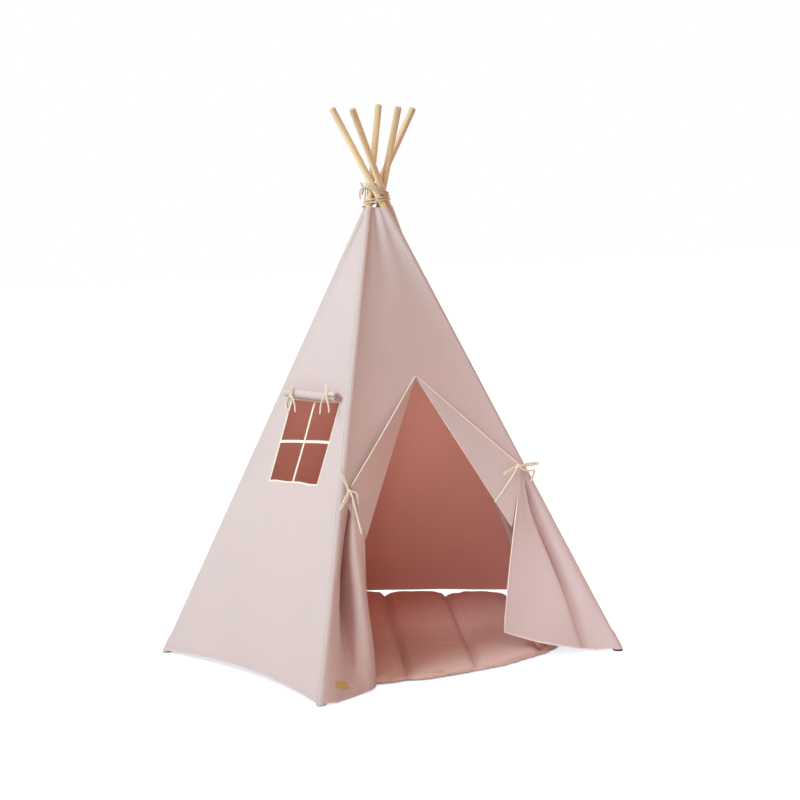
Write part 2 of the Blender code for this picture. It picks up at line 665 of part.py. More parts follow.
# door flaps below the ties
for side, table in ((-1, LEFT_FLAP_SHARES), (1, RIGHT_FLAP_SHARES)):
    pole = poles[0] if side < 0 else poles[1]
    label = "left" if side < 0 else "right"
    out = wallFrames[0][3]
    rows = []
    for level in table:
        rows.append([on_wall(0, side * a * FOOT_RADIUS, h * FOOT_RADIUS, b * FOOT_RADIUS)
                     for a, h, b in level])
    rows = refine(rows, 3, 2)
    for row in rows:
        for point in row:
            point[2] = max(point[2], HEM_AT_POLE)
        # the side sewn to the sleeve follows the pole
        z = HEM_AT_POLE if row is rows[-1] else row[0][2]
        start, end = chord(0, z)
        inward = unit(end - start) * -side
        inward = unit(inward - pole.axis * float(inward @ pole.axis))
        front = unit(np.cross(inward, pole.axis))
        front = front if front @ out > 0 else -front
        radius = (flareOuter if z < flareTop + sleeveOuter * 2 else sleeveOuter) + GAP + CLOTH * 0.75
        spot = pole.at(z) + (inward * math.cos(FLAP_LAP) + front * math.sin(FLAP_LAP)) * radius
        spot = spot + pole.axis * ((z - spot[2]) / pole.axis[2])
        row.insert(0, spot)
        row.insert(1, (spot + row[1]) / 2)
    pivot = pole.at(tieZ)
    flap = sheet("door_flap_" + label, rows if side < 0 else [r[::-1] for r in rows], pivot, CANVAS)
    edge = beside(rows, PIPING_RADIUS + GAP)
    cord("flap_piping_" + label, edge, PIPING_RADIUS, pivot, CANVAS_TRIM)
    if side < 0:
        # bare patch near the hem, lifted off the flap along its own slope
        u0, u1, v0, v1 = CORNER_PATCH_SHARES
        patch = []
        for v in (v0, (v0 + v1) / 2, v1):
            line = []
            for u in (u0, u0 + (u1 - u0) / 3, u0 + (u1 - u0) * 2 / 3, u1):
                rr = v * (len(rows) - 1)
                cc = u * (len(rows[0]) - 1)
                r, c = int(rr), int(cc)
                fr, fc = rr - r, cc - c
                left = rows[r][c] * (1 - fr) + rows[r + 1][c] * fr
                right = rows[r][c + 1] * (1 - fr) + rows[r + 1][c + 1] * fr
                downward = (rows[r + 1][c] - rows[r][c]) * (1 - fc) + (rows[r + 1][c + 1] - rows[r][c + 1]) * fc
                normal = unit(np.cross(downward, right - left))
                normal = normal if normal @ out > 0 else -normal
                line.append(left * (1 - fc) + right * fc + normal * (CLOTH * 1.5 + GAP))
            patch.append(line)
        sheet("corner_patch", patch, pivot, LEATHER, cloth=TAPE_THICKNESS)


def plain_mesh(piece):
    """A curve's tube as a mesh, so that it can be joined."""
    graph = bpy.context.evaluated_depsgraph_get()
    data = bpy.data.meshes.new_from_object(piece.evaluated_get(graph))
    swap = bpy.data.objects.new(piece.name + "_solid", data)
    swap.location = piece.location
    cutters.objects.link(swap)
    bpy.data.objects.remove(piece, do_unlink=True)
    swap.hide_render = True
    swap.display_type = "WIRE"
    return swap


def bow(name, knot, loops, strap, radius, knot_radius, origin, colour):
    """A knot with loops and the strap it is tied on, joined into one body."""
    data = bpy.data.meshes.new(name)
    shape = bmesh.new()
    bmesh.ops.create_uvsphere(shape, u_segments=10, v_segments=6, radius=knot_radius)
    bmesh.ops.translate(shape, verts=shape.verts, vec=Vector(knot) - Vector(origin))
    shape.to_mesh(data)
    shape.free()
    piece = place(name, data, origin, colour)
    for number, loop in enumerate(loops):
        ring = smooth([knot] + list(loop), 3, cyclic=True)
        part = plain_mesh(cord("%s_loop_%d" % (name, number), ring, radius, origin, colour, True, cutters))
        join = piece.modifiers.new("loop_%d" % number, "BOOLEAN")
        join.operation = "UNION"
        join.solver = "EXACT"
        join.use_self = True
        join.object = part
    if strap:
        part = plain_mesh(cord(name + "_strap", strap, radius, origin, colour, False, cutters))
        join = piece.modifiers.new("strap", "BOOLEAN")
        join.operation = "UNION"
        join.solver = "EXACT"
        join.use_self = True
        join.object = part
    return piece


def spaced(points, least):
    """Every point that lies far enough from the one before, and the last."""
    kept = [points[0]]
    for point in points[1:-1]:
        if np.linalg.norm(point - kept[-1]) > least:
            kept.append(point)
    if np.linalg.norm(points[-1] - kept[-1]) < least / 2:
        kept.pop()
    return kept + [points[-1]]


def tails(name, knot, first, second, near, radius, knot_radius, origin, colour):
    """Both free ends as one cord that crosses the near side of its knot."""
    front = knot + near * (knot_radius + radius + GAP)
    count = len(first) * 6
    path = smooth(list(first)[::-1] + [front] + list(second), 6)
    one = spaced(path[count::-1], radius * 4.4)
    two = spaced(path[count:], radius * 4.4)
    cord(name, one[::-1] + two[1:], radius, origin, colour)


def tied(label, wall, toward, table, strap_radius, bunch, strap_centre, strap_axis, origin):
    knot_s, loops_s, tails_s = table

    def real(s):
        return on_wall(wall, s[0] * FOOT_RADIUS, s[1] * FOOT_RADIUS, s[2] * FOOT_RADIUS)
    knot = real(knot_s)
    centre = strap_centre(knot)
    forward = unit((knot - centre) - strap_axis * float((knot - centre) @ strap_axis))
    sideways = np.cross(strap_axis, forward)
    sideways = sideways if sideways @ toward > 0 else -sideways
    reach = strap_radius + GAP + TIE_RADIUS
    strap = [knot]
    for step in range(5):
        turn = math.radians(STRAP_TURN) * step / 4
        away = forward * math.cos(turn) + sideways * math.sin(turn)
        strap.append(centre + away * (reach + bunch * (1 - step / 4)))
    knot_radius = TIE_RADIUS * 2
    bow(label + "_bow", knot, [[real(s) for s in loop] for loop in loops_s], strap, TIE_RADIUS,
        knot_radius, origin, CORD)
    ends = [[real(s) for s in line] for line in tails_s]
    tails(label + "_tails", knot, ends[0], ends[1], wallFrames[wall][3], TIE_RADIUS, knot_radius,
          origin, CORD)


def sleeve_centre(pole):
    def find(knot):
        away = float((knot - pole.foot) @ pole.axis)
        return pole.foot + pole.axis * away
    return find


frontAlong = wallFrames[0][1]
tied("door_left", 0, -frontAlong, DOOR_LEFT_BOW_SHARES, sleeveOuter, CLOTH * 3, sleeve_centre(poles[0]),
     poles[0].axis, poles[0].cross)
tied("door_right", 0, frontAlong, DOOR_RIGHT_BOW_SHARES, sleeveOuter, CLOTH * 3, sleeve_centre(poles[1]),
     poles[1].axis, poles[1].cross)


def roll_centre(knot):
    return rollEnds[0] + rollAxis * float((knot - rollEnds[0]) @ rollAxis)


upward = wallFrames[4][2]
tied("window_left", 4, upward, WINDOW_LEFT_BOW_SHARES, ROLL_RADIUS, 0, roll_centre, rollAxis, poles[4].cross)
tied("window_right", 4, upward, WINDOW_RIGHT_BOW_SHARES, ROLL_RADIUS, 0, roll_centre, rollAxis, poles[0].cross)

# lashing round the crossing
viewTurn = math.radians(LASH_VIEW_ANGLE)
viewRight = np.array((math.cos(viewTurn), -math.sin(viewTurn), 0.0))
viewNear = np.array((-math.sin(viewTurn), -math.cos(viewTurn), 0.0))
crossing = np.array((0.0, 0.0, CROSS_HEIGHT))
turns = []
count = LASH_TURNS * 24
for step in range(count + 1):
    share = step / count
    turn = math.pi - viewTurn + 2 * math.pi * LASH_TURNS * share
    bearing = np.array((math.cos(turn), math.sin(turn), 0.0))
    z = LASH_PITCH * LASH_TURNS * (0.5 - share)
    tilt = 0.0
    for _ in range(4):
        spread = math.hypot(twistRadius, (z + tilt) * math.tan(lean))
        radius = spread + poleRadius * (1 + 1 / math.cos(lean)) / 2 + LASH_RADIUS + GAP
        tilt = -LASH_SLOPE * radius * float(bearing @ viewRight)
    turns.append(crossing + bearing * radius + np.array((0.0, 0.0, z + tilt)))
cord("lashing_cord", turns, LASH_RADIUS, crossing, CORD)
closest = 1.0
for i in range(len(turns)):
    for j in range(i + 12, len(turns)):
        closest = min(closest, float(np.linalg.norm(turns[i] - turns[j])))
print("lashing gap to itself mm", round((closest - 2 * LASH_RADIUS) * 1000, 2))


def lash_point(s):
    near = s[2] * FOOT_RADIUS if len(s) > 2 else 0.0
    side = viewRight * (s[0] * FOOT_RADIUS) + viewNear * near
    return crossing + side + np.array((0.0, 0.0, s[1] * FOOT_RADIUS))


knot_s, loops_s, tails_s = LASH_BOW_SHARES
knot = lash_point(knot_s)
bow("lashing_bow", knot, [[lash_point(s) for s in loop] for loop in loops_s], None, LASH_RADIUS,
    LASH_RADIUS * 2, crossing, CORD)
ends = [[lash_point(s) for s in line] for line in tails_s]
tails("lashing_tails", knot, ends[0], ends[1], viewNear, LASH_RADIUS, LASH_RADIUS * 2, crossing, CORD)
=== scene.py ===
import math
import bpy
import numpy as np
from mathutils import Matrix, Vector, noise
from mathutils.bvhtree import BVHTree


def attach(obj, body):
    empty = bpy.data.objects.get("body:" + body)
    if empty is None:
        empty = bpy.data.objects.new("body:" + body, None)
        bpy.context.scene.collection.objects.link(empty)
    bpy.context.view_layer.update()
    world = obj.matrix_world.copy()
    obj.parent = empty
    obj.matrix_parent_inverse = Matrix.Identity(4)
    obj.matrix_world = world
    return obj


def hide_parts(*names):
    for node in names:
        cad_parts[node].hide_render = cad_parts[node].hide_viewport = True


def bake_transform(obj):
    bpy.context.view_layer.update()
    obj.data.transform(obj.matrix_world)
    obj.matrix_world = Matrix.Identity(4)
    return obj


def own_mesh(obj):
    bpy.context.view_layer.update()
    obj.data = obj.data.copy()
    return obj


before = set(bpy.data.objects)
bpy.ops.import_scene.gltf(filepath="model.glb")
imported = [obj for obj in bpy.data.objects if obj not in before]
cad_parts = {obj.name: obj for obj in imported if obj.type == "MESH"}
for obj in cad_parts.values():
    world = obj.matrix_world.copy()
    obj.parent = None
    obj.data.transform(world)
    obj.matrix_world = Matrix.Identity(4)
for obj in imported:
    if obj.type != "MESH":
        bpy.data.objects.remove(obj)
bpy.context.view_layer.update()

scene = bpy.context.scene

# camera
viewpoint = {"spot": (-2.102, -4.3214, 1.2624), "yaw": 26.465, "pitch": -6.229, "roll": -2.282, "lens": 71.53}


def placeCamera(look):
    yaw, pitch, roll = (math.radians(look[k]) for k in ("yaw", "pitch", "roll"))
    ahead = Vector((math.sin(yaw) * math.cos(pitch), math.cos(yaw) * math.cos(pitch), math.sin(pitch)))
    level = Vector((math.cos(yaw), -math.sin(yaw), 0))
    above = level.cross(ahead)
    right = level * math.cos(roll) + above * math.sin(roll)
    up = above * math.cos(roll) - level * math.sin(roll)
    data = bpy.data.cameras.new("camera")
    data.lens = look["lens"]
    data.sensor_width = 36
    camera = bpy.data.objects.new("camera", data)
    scene.collection.objects.link(camera)
    turn = Matrix((right, up, -ahead)).transposed()
    camera.matrix_world = Matrix.Translation(look["spot"]) @ turn.to_4x4()
    scene.camera = camera


placeCamera(viewpoint)
print("camera placed")

# the tent's lines, with the same sizes as the solids
footRadius, crossing, frontAngle = 0.700, 1.375, 86.0
poleRadius, poleGap = 0.010, 0.0006
sleeveOuter, sleeveFlare, flareTop, flareFade = 0.0120, 0.0148, 0.043, 0.016
canvasTop, hemMiddle, clothThick, sag = 1.321, 0.026, 0.0014, 0.010
foldClear, foldKeep = 0.0145, 0.35
waves = {"broad": 0.0045, "drape": 0.0016, "fine": 0.0005, "pucker": 0.0003, "pleat": 0.0028, "hem": 0.0016}
hemAt = (0.0015, 0.006, 0.005, 0.004, 0.002)
poleNames = ("front_left", "front_right", "right", "back", "left")
poleBodies = [name + "_pole_body" for name in poleNames]
wallNames = ("front", "right", "back_right", "back_left", "left")


def unit(v):
    v = np.asarray(v, float)
    return v / np.linalg.norm(v)


def norm(v):
    return float(np.linalg.norm(v))


def clamp(t, low=0.0, high=1.0):
    return min(high, max(low, t))


def ease(t):
    return t * t * (3 - 2 * t)


def bumpy(x, y, z):
    return noise.noise(Vector((x, y, z)))


class Pole:
    def __init__(self, angle, twist):
        psi = angle + math.asin(twist / footRadius)
        self.side = np.array((math.sin(psi), -math.cos(psi), 0.0))
        spread = math.sqrt(footRadius ** 2 - twist ** 2)
        self.foot = self.side * twist + np.array((math.cos(psi), math.sin(psi), 0.0)) * spread
        self.cross = self.side * twist + np.array((0, 0, crossing))
        self.axis = unit(self.cross - self.foot)
        self.across = np.cross(self.axis, self.side)

    def at(self, z):
        return self.foot + (self.cross - self.foot) * (z / crossing)


lean = math.atan2(footRadius, crossing)


def findPoles():
    other = (2 * math.pi - math.radians(frontAngle)) / 4
    part = math.cos(lean) / math.hypot(math.cos(lean), math.sin(lean) * math.cos(other / 2))
    twist = (poleRadius * 2 + poleGap) / (2 * math.sin(other / 2) * part)
    first = math.radians(270 - frontAngle / 2)
    turns = [first, first + math.radians(frontAngle)]
    while len(turns) < 5:
        turns.append(turns[-1] + other)
    return [Pole(turn, twist) for turn in turns], twist


poles, twistRadius = findPoles()


def chord(wall, z):
    return poles[wall].at(z), poles[(wall + 1) % 5].at(z)


def span(wall, z):
    start, end = chord(wall, z)
    return norm(end - start)


def wallFrame(wall):
    low, high = chord(wall, 0), chord(wall, crossing)
    along = unit(low[1] - low[0])
    middle = (low[0] + low[1]) / 2
    rise = (high[0] + high[1]) / 2 - middle
    up = unit(rise - along * float(rise @ along))
    return middle, along, up, np.cross(along, up)


frames = [wallFrame(wall) for wall in range(5)]
floorWidths = [span(wall, 0) for wall in range(5)]


def halves(wall):
    # number, sign, pole and body of the two halves of a wall
    other = (wall + 1) % 5
    return (1, -1, poles[wall], poleBodies[wall]), (2, 1, poles[other], poleBodies[other])


def sleeveRadius(z):
    # outside of the pole sleeve, wider over the rubber foot
    return sleeveFlare + (sleeveOuter - sleeveFlare) * ease(clamp((z - flareTop) / flareFade))


def onWall(wall, a, h, b):
    # point in a wall's own directions, from the line between its two poles
    middle, along, up, out = frames[wall]
    start, end = chord(wall, h * up[2])
    run = end - start
    share = float((middle + along * a + up * h - start) @ along) / float(run @ along)
    return start + run * share + out * b


def ripple(wall, a, z, s):
    # small unevenness of stretched canvas, out of the wall
    seed = wall * 7.31
    edge = (1 - abs(s)) * (1 - z / crossing) * 0.5
    pull = math.sin(z * 150 + 4 * bumpy(z * 9, s * 2, seed + 8))
    broad = bumpy(a * 2.6, z * 1.7, seed) * waves["broad"]
    drape = bumpy(a * 9.0 + z * 1.5, z * 1.4, seed + 3) * waves["drape"]
    pleat = math.sin(s * 7.5 + seed) * waves["pleat"] * max(0.0, (z - 1.02) / 0.3)
    hem = math.sin(a * 26 + seed * 2) * waves["hem"] * math.exp(-z / 0.05)
    pucker = pull * math.exp(-edge / 0.014) * waves["pucker"] * min(1.0, edge / 0.004)
    fine = bumpy(a * 21, z * 15, seed + 5) * waves["fine"]
    return (broad + drape + pleat + hem) * (1 - s * s) + pucker + fine


def wallPoint(wall, z, s, lift=0.0, plain=False):
    # share s runs from -1 at the first pole to 1 at the second
    start, end = chord(wall, z)
    size = norm(end - start) / floorWidths[wall]
    off = sleeveRadius(z) * (0.1 + 0.9 * s ** 4) - sag * size * size * (1 - s * s)
    if not plain:
        off += ripple(wall, s * size * floorWidths[wall] / 2, z, s)
    return (start + end) / 2 + (end - start) * (s / 2) + frames[wall][3] * (off + lift)


def smooth(points, times, cyclic=False):
    points = [np.asarray(p, float) for p in points]
    count = len(points)
    result = []
    for i in range(count if cyclic else count - 1):
        if cyclic:
            p0, p1, p2, p3 = (points[(i + k) % count] for k in (-1, 0, 1, 2))
        else:
            p1, p2 = points[i], points[i + 1]
            p0 = points[i - 1] if i else p1 * 2 - p2
            p3 = points[i + 2] if i + 2 < count else p2 * 2 - p1
        for step in range(times):
            t = step / times
            pull = (p2 - p0) * t + (p0 * 2 - p1 * 5 + p2 * 4 - p3) * t ** 2
            result.append((p1 * 2 + pull + (p1 * 3 - p0 - p2 * 3 + p3) * t ** 3) / 2)
    if not cyclic:
        result.append(points[-1])
    return result


def refine(rows, down, across):
    wide = [smooth(row, across) for row in rows]
    columns = [smooth([row[c] for row in wide], down) for c in range(len(wide[0]))]
    return [[column[r] for column in columns] for r in range(len(columns[0]))]


# materials
def linear(colour, tone=1.0):
    plain = (c / 12.92 if c <= 0.04045 else ((c + 0.055) / 1.055) ** 2.4 for c in colour)
    return (*(min(1, c * tone) for c in plain), 1)


def wire(tree, made, inputs):
    for key, value in inputs.items():
        if isinstance(value, bpy.types.NodeSocket):
            tree.links.new(value, made.inputs[key])
        else:
            made.inputs[key].default_value = value
    return made


def node(tree, kind, inputs=None, **settings):
    made = tree.nodes.new(kind)
    for key, value in settings.items():
        setattr(made, key, value)
    return wire(tree, made, inputs or {})


def maths(tree, operation, *values):
    return node(tree, "ShaderNodeMath", dict(enumerate(values)), operation=operation).outputs[0]


def mixed(tree, share, one, two, way="MIX"):
    return node(tree, "ShaderNodeMix", {0: share, 6: one, 7: two}, data_type="RGBA", blend_type=way).outputs[2]


def cloud(tree, where, scale, detail, rough=0.5, bent=0.0):
    return node(tree, "ShaderNodeTexNoise", {0: where, "Scale": scale, "Detail": detail, "Roughness": rough,
                                             "Distortion": bent}).outputs[0]


def bumped(tree, strength, distance, height, **more):
    return node(tree, "ShaderNodeBump",
                {"Strength": strength, "Distance": distance, "Height": height, **more}).outputs[0]


def stretched(tree, where, scale):
    return node(tree, "ShaderNodeMapping", {0: where, 3: scale}).outputs[0]


def clothMap(tree):
    return node(tree, "ShaderNodeUVMap", uv_map="cloth").outputs[0]


def newLook(name, colour=None):
    made = bpy.data.materials.new(name)
    made.use_nodes = True
    if colour:
        made.diffuse_color = linear(colour)
    return made, made.node_tree, made.node_tree.nodes["Principled BSDF"]


def clothGroup():
    # weave threads, slubs and soft crumples of the cotton canvas
    tree = bpy.data.node_groups.new("cottonWeave", "ShaderNodeTree")
    tree.interface.new_socket(name="Vector", in_out="INPUT", socket_type="NodeSocketVector")
    for label in ("Threads", "Tint", "Crumple"):
        tree.interface.new_socket(name=label, in_out="OUTPUT", socket_type="NodeSocketFloat")
    where = tree.nodes.new("NodeGroupInput").outputs[0]
    split = node(tree, "ShaderNodeSeparateXYZ", {0: where}).outputs
    over, under = (maths(tree, "SINE", maths(tree, "MULTIPLY", split[k], 5200.0)) for k in (0, 1))
    slubs = cloud(tree, stretched(tree, where, (55.0, 420.0, 1.0)), 1.0, 3.0)
    threads = maths(tree, "ADD", maths(tree, "MULTIPLY", over, under), slubs)
    tint = maths(tree, "ADD", cloud(tree, where, 3.5, 5.0, 0.55), maths(tree, "MULTIPLY", slubs, 0.5))
    node(tree, "NodeGroupOutput", {0: threads, 1: tint, 2: cloud(tree, where, 7.0, 6.0, 0.5, 0.6)})
    return tree


weave = clothGroup()


def clothLook(name, colour, glow=0.0, glowColour=None, crumple=0.0012, spread=0.05, sheen=0.25, rear=None):
    made, tree, shader = newLook(name, colour)
    uv = clothMap(tree)
    grain = node(tree, "ShaderNodeGroup", {0: uv}, node_tree=weave).outputs
    tone = mixed(tree, grain[1], linear(colour, 1 - spread), linear(colour, 1 + spread))
    # rear: painted shade, a darker and redder colour blended in towards the back, where the mattress lies in the
    # tent's shade
    if rear:
        depth = node(tree, "ShaderNodeSeparateXYZ", {0: uv}).outputs[1]
        back = node(tree, "ShaderNodeMapRange", {0: depth, 1: -0.45, 2: 0.30}).outputs[0]
        tone = mixed(tree, back, tone, linear(rear))
    soft = bumped(tree, 1.0, crumple, grain[2])
    wire(tree, shader, {"Base Color": tone, "Roughness": 0.9, "Sheen Weight": sheen, "Sheen Roughness": 0.5,
                        "Normal": bumped(tree, 0.5, 0.00012, grain[0], Normal=soft)})
    if glow:
        through = node(tree, "ShaderNodeBsdfTranslucent", {0: linear(glowColour)})
        blend = node(tree, "ShaderNodeMixShader", {0: glow, 1: shader.outputs[0], 2: through.outputs[0]})
        wire(tree, tree.nodes["Material Output"], {0: blend.outputs[0]})
    return made


def cordLook(name, colour):
    # twisted cotton cord: strands run round it at a slant, with shade painted darker into the grooves between them
    made, tree, shader = newLook(name, colour)
    uv = clothMap(tree)
    split = node(tree, "ShaderNodeSeparateXYZ", {0: uv}).outputs
    turns = maths(tree, "MULTIPLY", split[1], 2 * math.pi * 3)
    strand = maths(tree, "SINE", maths(tree, "ADD", turns, maths(tree, "MULTIPLY", split[0], 900.0)))
    height = maths(tree, "ADD", strand, maths(tree, "MULTIPLY", cloud(tree, uv, 900.0, 2.0), 0.8))
    # painted shade: the colour darkens in the grooves between strands
    share = maths(tree, "ADD", maths(tree, "MULTIPLY", strand, 0.5), 0.5)
    wire(tree, shader, {"Base Color": mixed(tree, share, linear(colour, 0.82), linear(colour)), "Roughness": 0.9,
                        "Sheen Weight": 0.3, "Normal": bumped(tree, 0.8, 0.0004, height)})
    return made


def pineLook(name, pole, tip, tone):
    # planed pine with its grain along one pole, greyer at its tip
    made, tree, shader = newLook(name, (0.88, 0.76, 0.58))
    where = tree.nodes.new("ShaderNodeTexCoord").outputs["Object"]
    turn = Vector(pole.axis).rotation_difference(Vector((0, 0, 1))).to_euler()
    flat = node(tree, "ShaderNodeVectorRotate", {0: where, "Rotation": tuple(turn)},
                rotation_type="EULER_XYZ").outputs[0]
    grain = cloud(tree, stretched(tree, flat, (1.0, 1.0, 0.05)), 90.0, 2.0, 0.5, 0.3)
    rings = node(tree, "ShaderNodeTexWave", {0: stretched(tree, flat, (1.0, 1.0, 0.12)), "Scale": 22.0,
                                             "Distortion": 4.0, "Detail": 3.0, "Detail Scale": 1.5})
    ramp = node(tree, "ShaderNodeValToRGB", {0: rings.outputs["Fac"]})
    for stop, colour in zip(ramp.color_ramp.elements, ((0.915, 0.79, 0.65), (0.87, 0.715, 0.55))):
        stop.color = linear(colour)
    fine = mixed(tree, 0.05, ramp.outputs[0], grain, "SOFT_LIGHT")
    height = node(tree, "ShaderNodeSeparateXYZ", {0: flat}).outputs[2]
    near = node(tree, "ShaderNodeMapRange", {0: height, 1: tip - 0.11, 2: tip, 3: 1.0, 4: 0.84}).outputs[0]
    dull = mixed(tree, 1.0, fine, near, "MULTIPLY")
    shade = mixed(tree, 1.0, dull, (tone, tone * 0.98, tone * 0.95, 1), "MULTIPLY")
    wire(tree, shader, {"Base Color": shade, "Roughness": 0.55, "Specular IOR Level": 0.35,
                        "Normal": bumped(tree, 0.05, 0.0002, grain)})
    return made


def rubberLook():
    made, tree, shader = newLook("darkRubber")
    where = tree.nodes.new("ShaderNodeTexCoord").outputs["Object"]
    wire(tree, shader, {"Base Color": (0.014, 0.014, 0.015, 1), "Roughness": 0.65,
                        "Normal": bumped(tree, 0.3, 0.0002, cloud(tree, where, 600.0, 3.0))})
    return made


def leatherLook():
    made, tree, shader = newLook("tanLeather")
    uv = clothMap(tree)
    pores = node(tree, "ShaderNodeTexVoronoi", {0: uv, "Scale": 900.0}).outputs["Distance"]
    tone = mixed(tree, cloud(tree, uv, 60.0, 4.0), linear((0.74, 0.55, 0.30)), linear((0.86, 0.68, 0.42)))
    wire(tree, shader, {"Base Color": tone, "Roughness": 0.5, "Normal": bumped(tree, 0.4, 0.0002, pores)})
    return made


looks = {
    "canvas": clothLook("dustyPinkCanvas", (0.905, 0.810, 0.790), 0.30, (0.90, 0.62, 0.55)),
    # inner face of the cloth: darker and redder than the outer face, partly the cloth's own inner side and partly
    # painted shade of the tent's inside
    "inside": clothLook("canvasInsideShaded", (0.850, 0.665, 0.610), 0.30, (0.92, 0.62, 0.55)),
    "trim": clothLook("creamCottonTape", (0.925, 0.835, 0.775), crumple=0.0004, spread=0.03),
    # the mattress's rear colour is painted shade inside the tent
    "mat": clothLook("mattressCotton", (0.840, 0.670, 0.630), crumple=0.0010, sheen=0.2, rear=(0.76, 0.47, 0.41)),
    # left flap and its facing: a pinker copy of the canvas with a redder glow, painted shade for the reddish shade
    # in the flap's folds
    "leftFlap": clothLook("dustyPinkFlapShaded", (0.91, 0.800, 0.770), 0.38, (0.92, 0.54, 0.46)),
    "thread": clothLook("pinkThread", (0.840, 0.725, 0.705)),
    "patchThread": clothLook("tanThread", (0.62, 0.46, 0.28)),
    "dark": clothLook("matUnderside", (0.32, 0.31, 0.32), crumple=0.001),
    "cord": cordLook("creamTieCord", (0.94, 0.845, 0.745)),
    # lashing: a darker copy of the tie cord, painted shade on the lashing
    "lashing": cordLook("lashingCordShaded", (0.88, 0.755, 0.635)),
    "rubber": rubberLook(),
    "leather": leatherLook(),
}


# building pieces
def link(name, mesh, materials):
    for look in materials:
        mesh.materials.append(look)
    made = bpy.data.objects.new(name, mesh)
    scene.collection.objects.link(made)
    return made


def spotsOf(mesh):
    spots = np.empty(len(mesh.vertices) * 3)
    mesh.vertices.foreach_get("co", spots)
    return spots.reshape(-1, 3)


def setSpots(mesh, spots):
    mesh.vertices.foreach_set("co", spots.ravel())
    mesh.update()


def cornersOf(mesh):
    index = np.empty(len(mesh.loops), int)
    mesh.loops.foreach_get("vertex_index", index)
    return index


def shadeSmooth(mesh):
    mesh.polygons.foreach_set("use_smooth", [True] * len(mesh.polygons))


def evaluated(piece):
    graph = bpy.context.evaluated_depsgraph_get()
    return bpy.data.meshes.new_from_object(piece.evaluated_get(graph))


def baked(piece):
    # the piece's mesh as its modifiers leave it
    made = evaluated(piece)
    piece.modifiers.clear()
    piece.data = made
    return made


def normalsOf(points, toward=None):
    normals = np.cross(np.gradient(points, axis=1), np.gradient(points, axis=0))
    normals = normals / np.maximum(np.linalg.norm(normals, axis=2, keepdims=True), 1e-12)
    if toward is not None and float((normals.reshape(-1, 3) @ np.asarray(toward)).sum()) < 0:
        normals = -normals
    return normals


def clothPiece(name, points, normals, materials, thick=clothThick, holes=None, wrap=False, uv=None):
    # two skins of cloth with rims, on a grid of points whose normals face outwards
    points = np.asarray(points, float)
    rows, columns = points.shape[:2]
    half = np.broadcast_to(np.asarray(thick, float) / 2, (rows, columns))[..., None]
    outer = (points + normals * half).reshape(-1, 3)
    inner = (points - normals * half).reshape(-1, 3)
    count = rows * columns
    flip = float(np.cross(points[0, 1] - points[0, 0], points[1, 0] - points[0, 0]) @ normals[0, 0]) < 0
    faces, edges = [], {}
    for r in range(rows - 1):
        for c in range(columns if wrap else columns - 1):
            if holes is not None and holes[r, c]:
                continue
            d = (c + 1) % columns
            quad = [r * columns + c, r * columns + d, (r + 1) * columns + d, (r + 1) * columns + c]
            if flip:
                quad.reverse()
            faces.append(quad)
            for k in range(4):
                a, b = quad[k], quad[(k + 1) % 4]
                if (b, a) in edges:
                    del edges[(b, a)]
                else:
                    edges[(a, b)] = True
    front = len(faces)
    faces += [[v + count for v in reversed(quad)] for quad in faces[:front]]
    faces += [[b, a, a + count, b + count] for a, b in edges]
    mesh = bpy.data.meshes.new(name)
    mesh.from_pydata(np.concatenate((outer, inner)).tolist(), [], faces)
    if len(materials) > 1:
        mesh.polygons.foreach_set("material_index", [0] * front + [1] * front + [0] * len(edges))
    shadeSmooth(mesh)
    if uv is None:
        steps = np.linalg.norm(np.diff(points, axis=1), axis=2).mean(axis=0)
        drops = np.linalg.norm(np.diff(points, axis=0), axis=2).mean(axis=1)
        uv = np.stack(np.meshgrid(*(np.concatenate(([0], np.cumsum(gaps))) for gaps in (steps, drops))), axis=2)
    flat = np.asarray(uv, float).reshape(-1, 2)
    layer = mesh.uv_layers.new(name="cloth")
    index = cornersOf(mesh)
    layer.data.foreach_set("uv", flat[index % count].ravel())
    mesh.update()
    facing = np.concatenate((normals.reshape(-1, 3), -normals.reshape(-1, 3)))[index]
    square = np.empty(len(faces) * 3)
    mesh.polygons.foreach_get("normal", square)
    facing[front * 8:] = np.repeat(square.reshape(-1, 3)[front * 2:], 4, axis=0)
    mesh.normals_split_custom_set(facing.tolist())
    return link(name, mesh, materials)


cordSides = 10
cordEnd = ((0.75, 0.05), (0.55, 0.62), (0.25, 0.9))


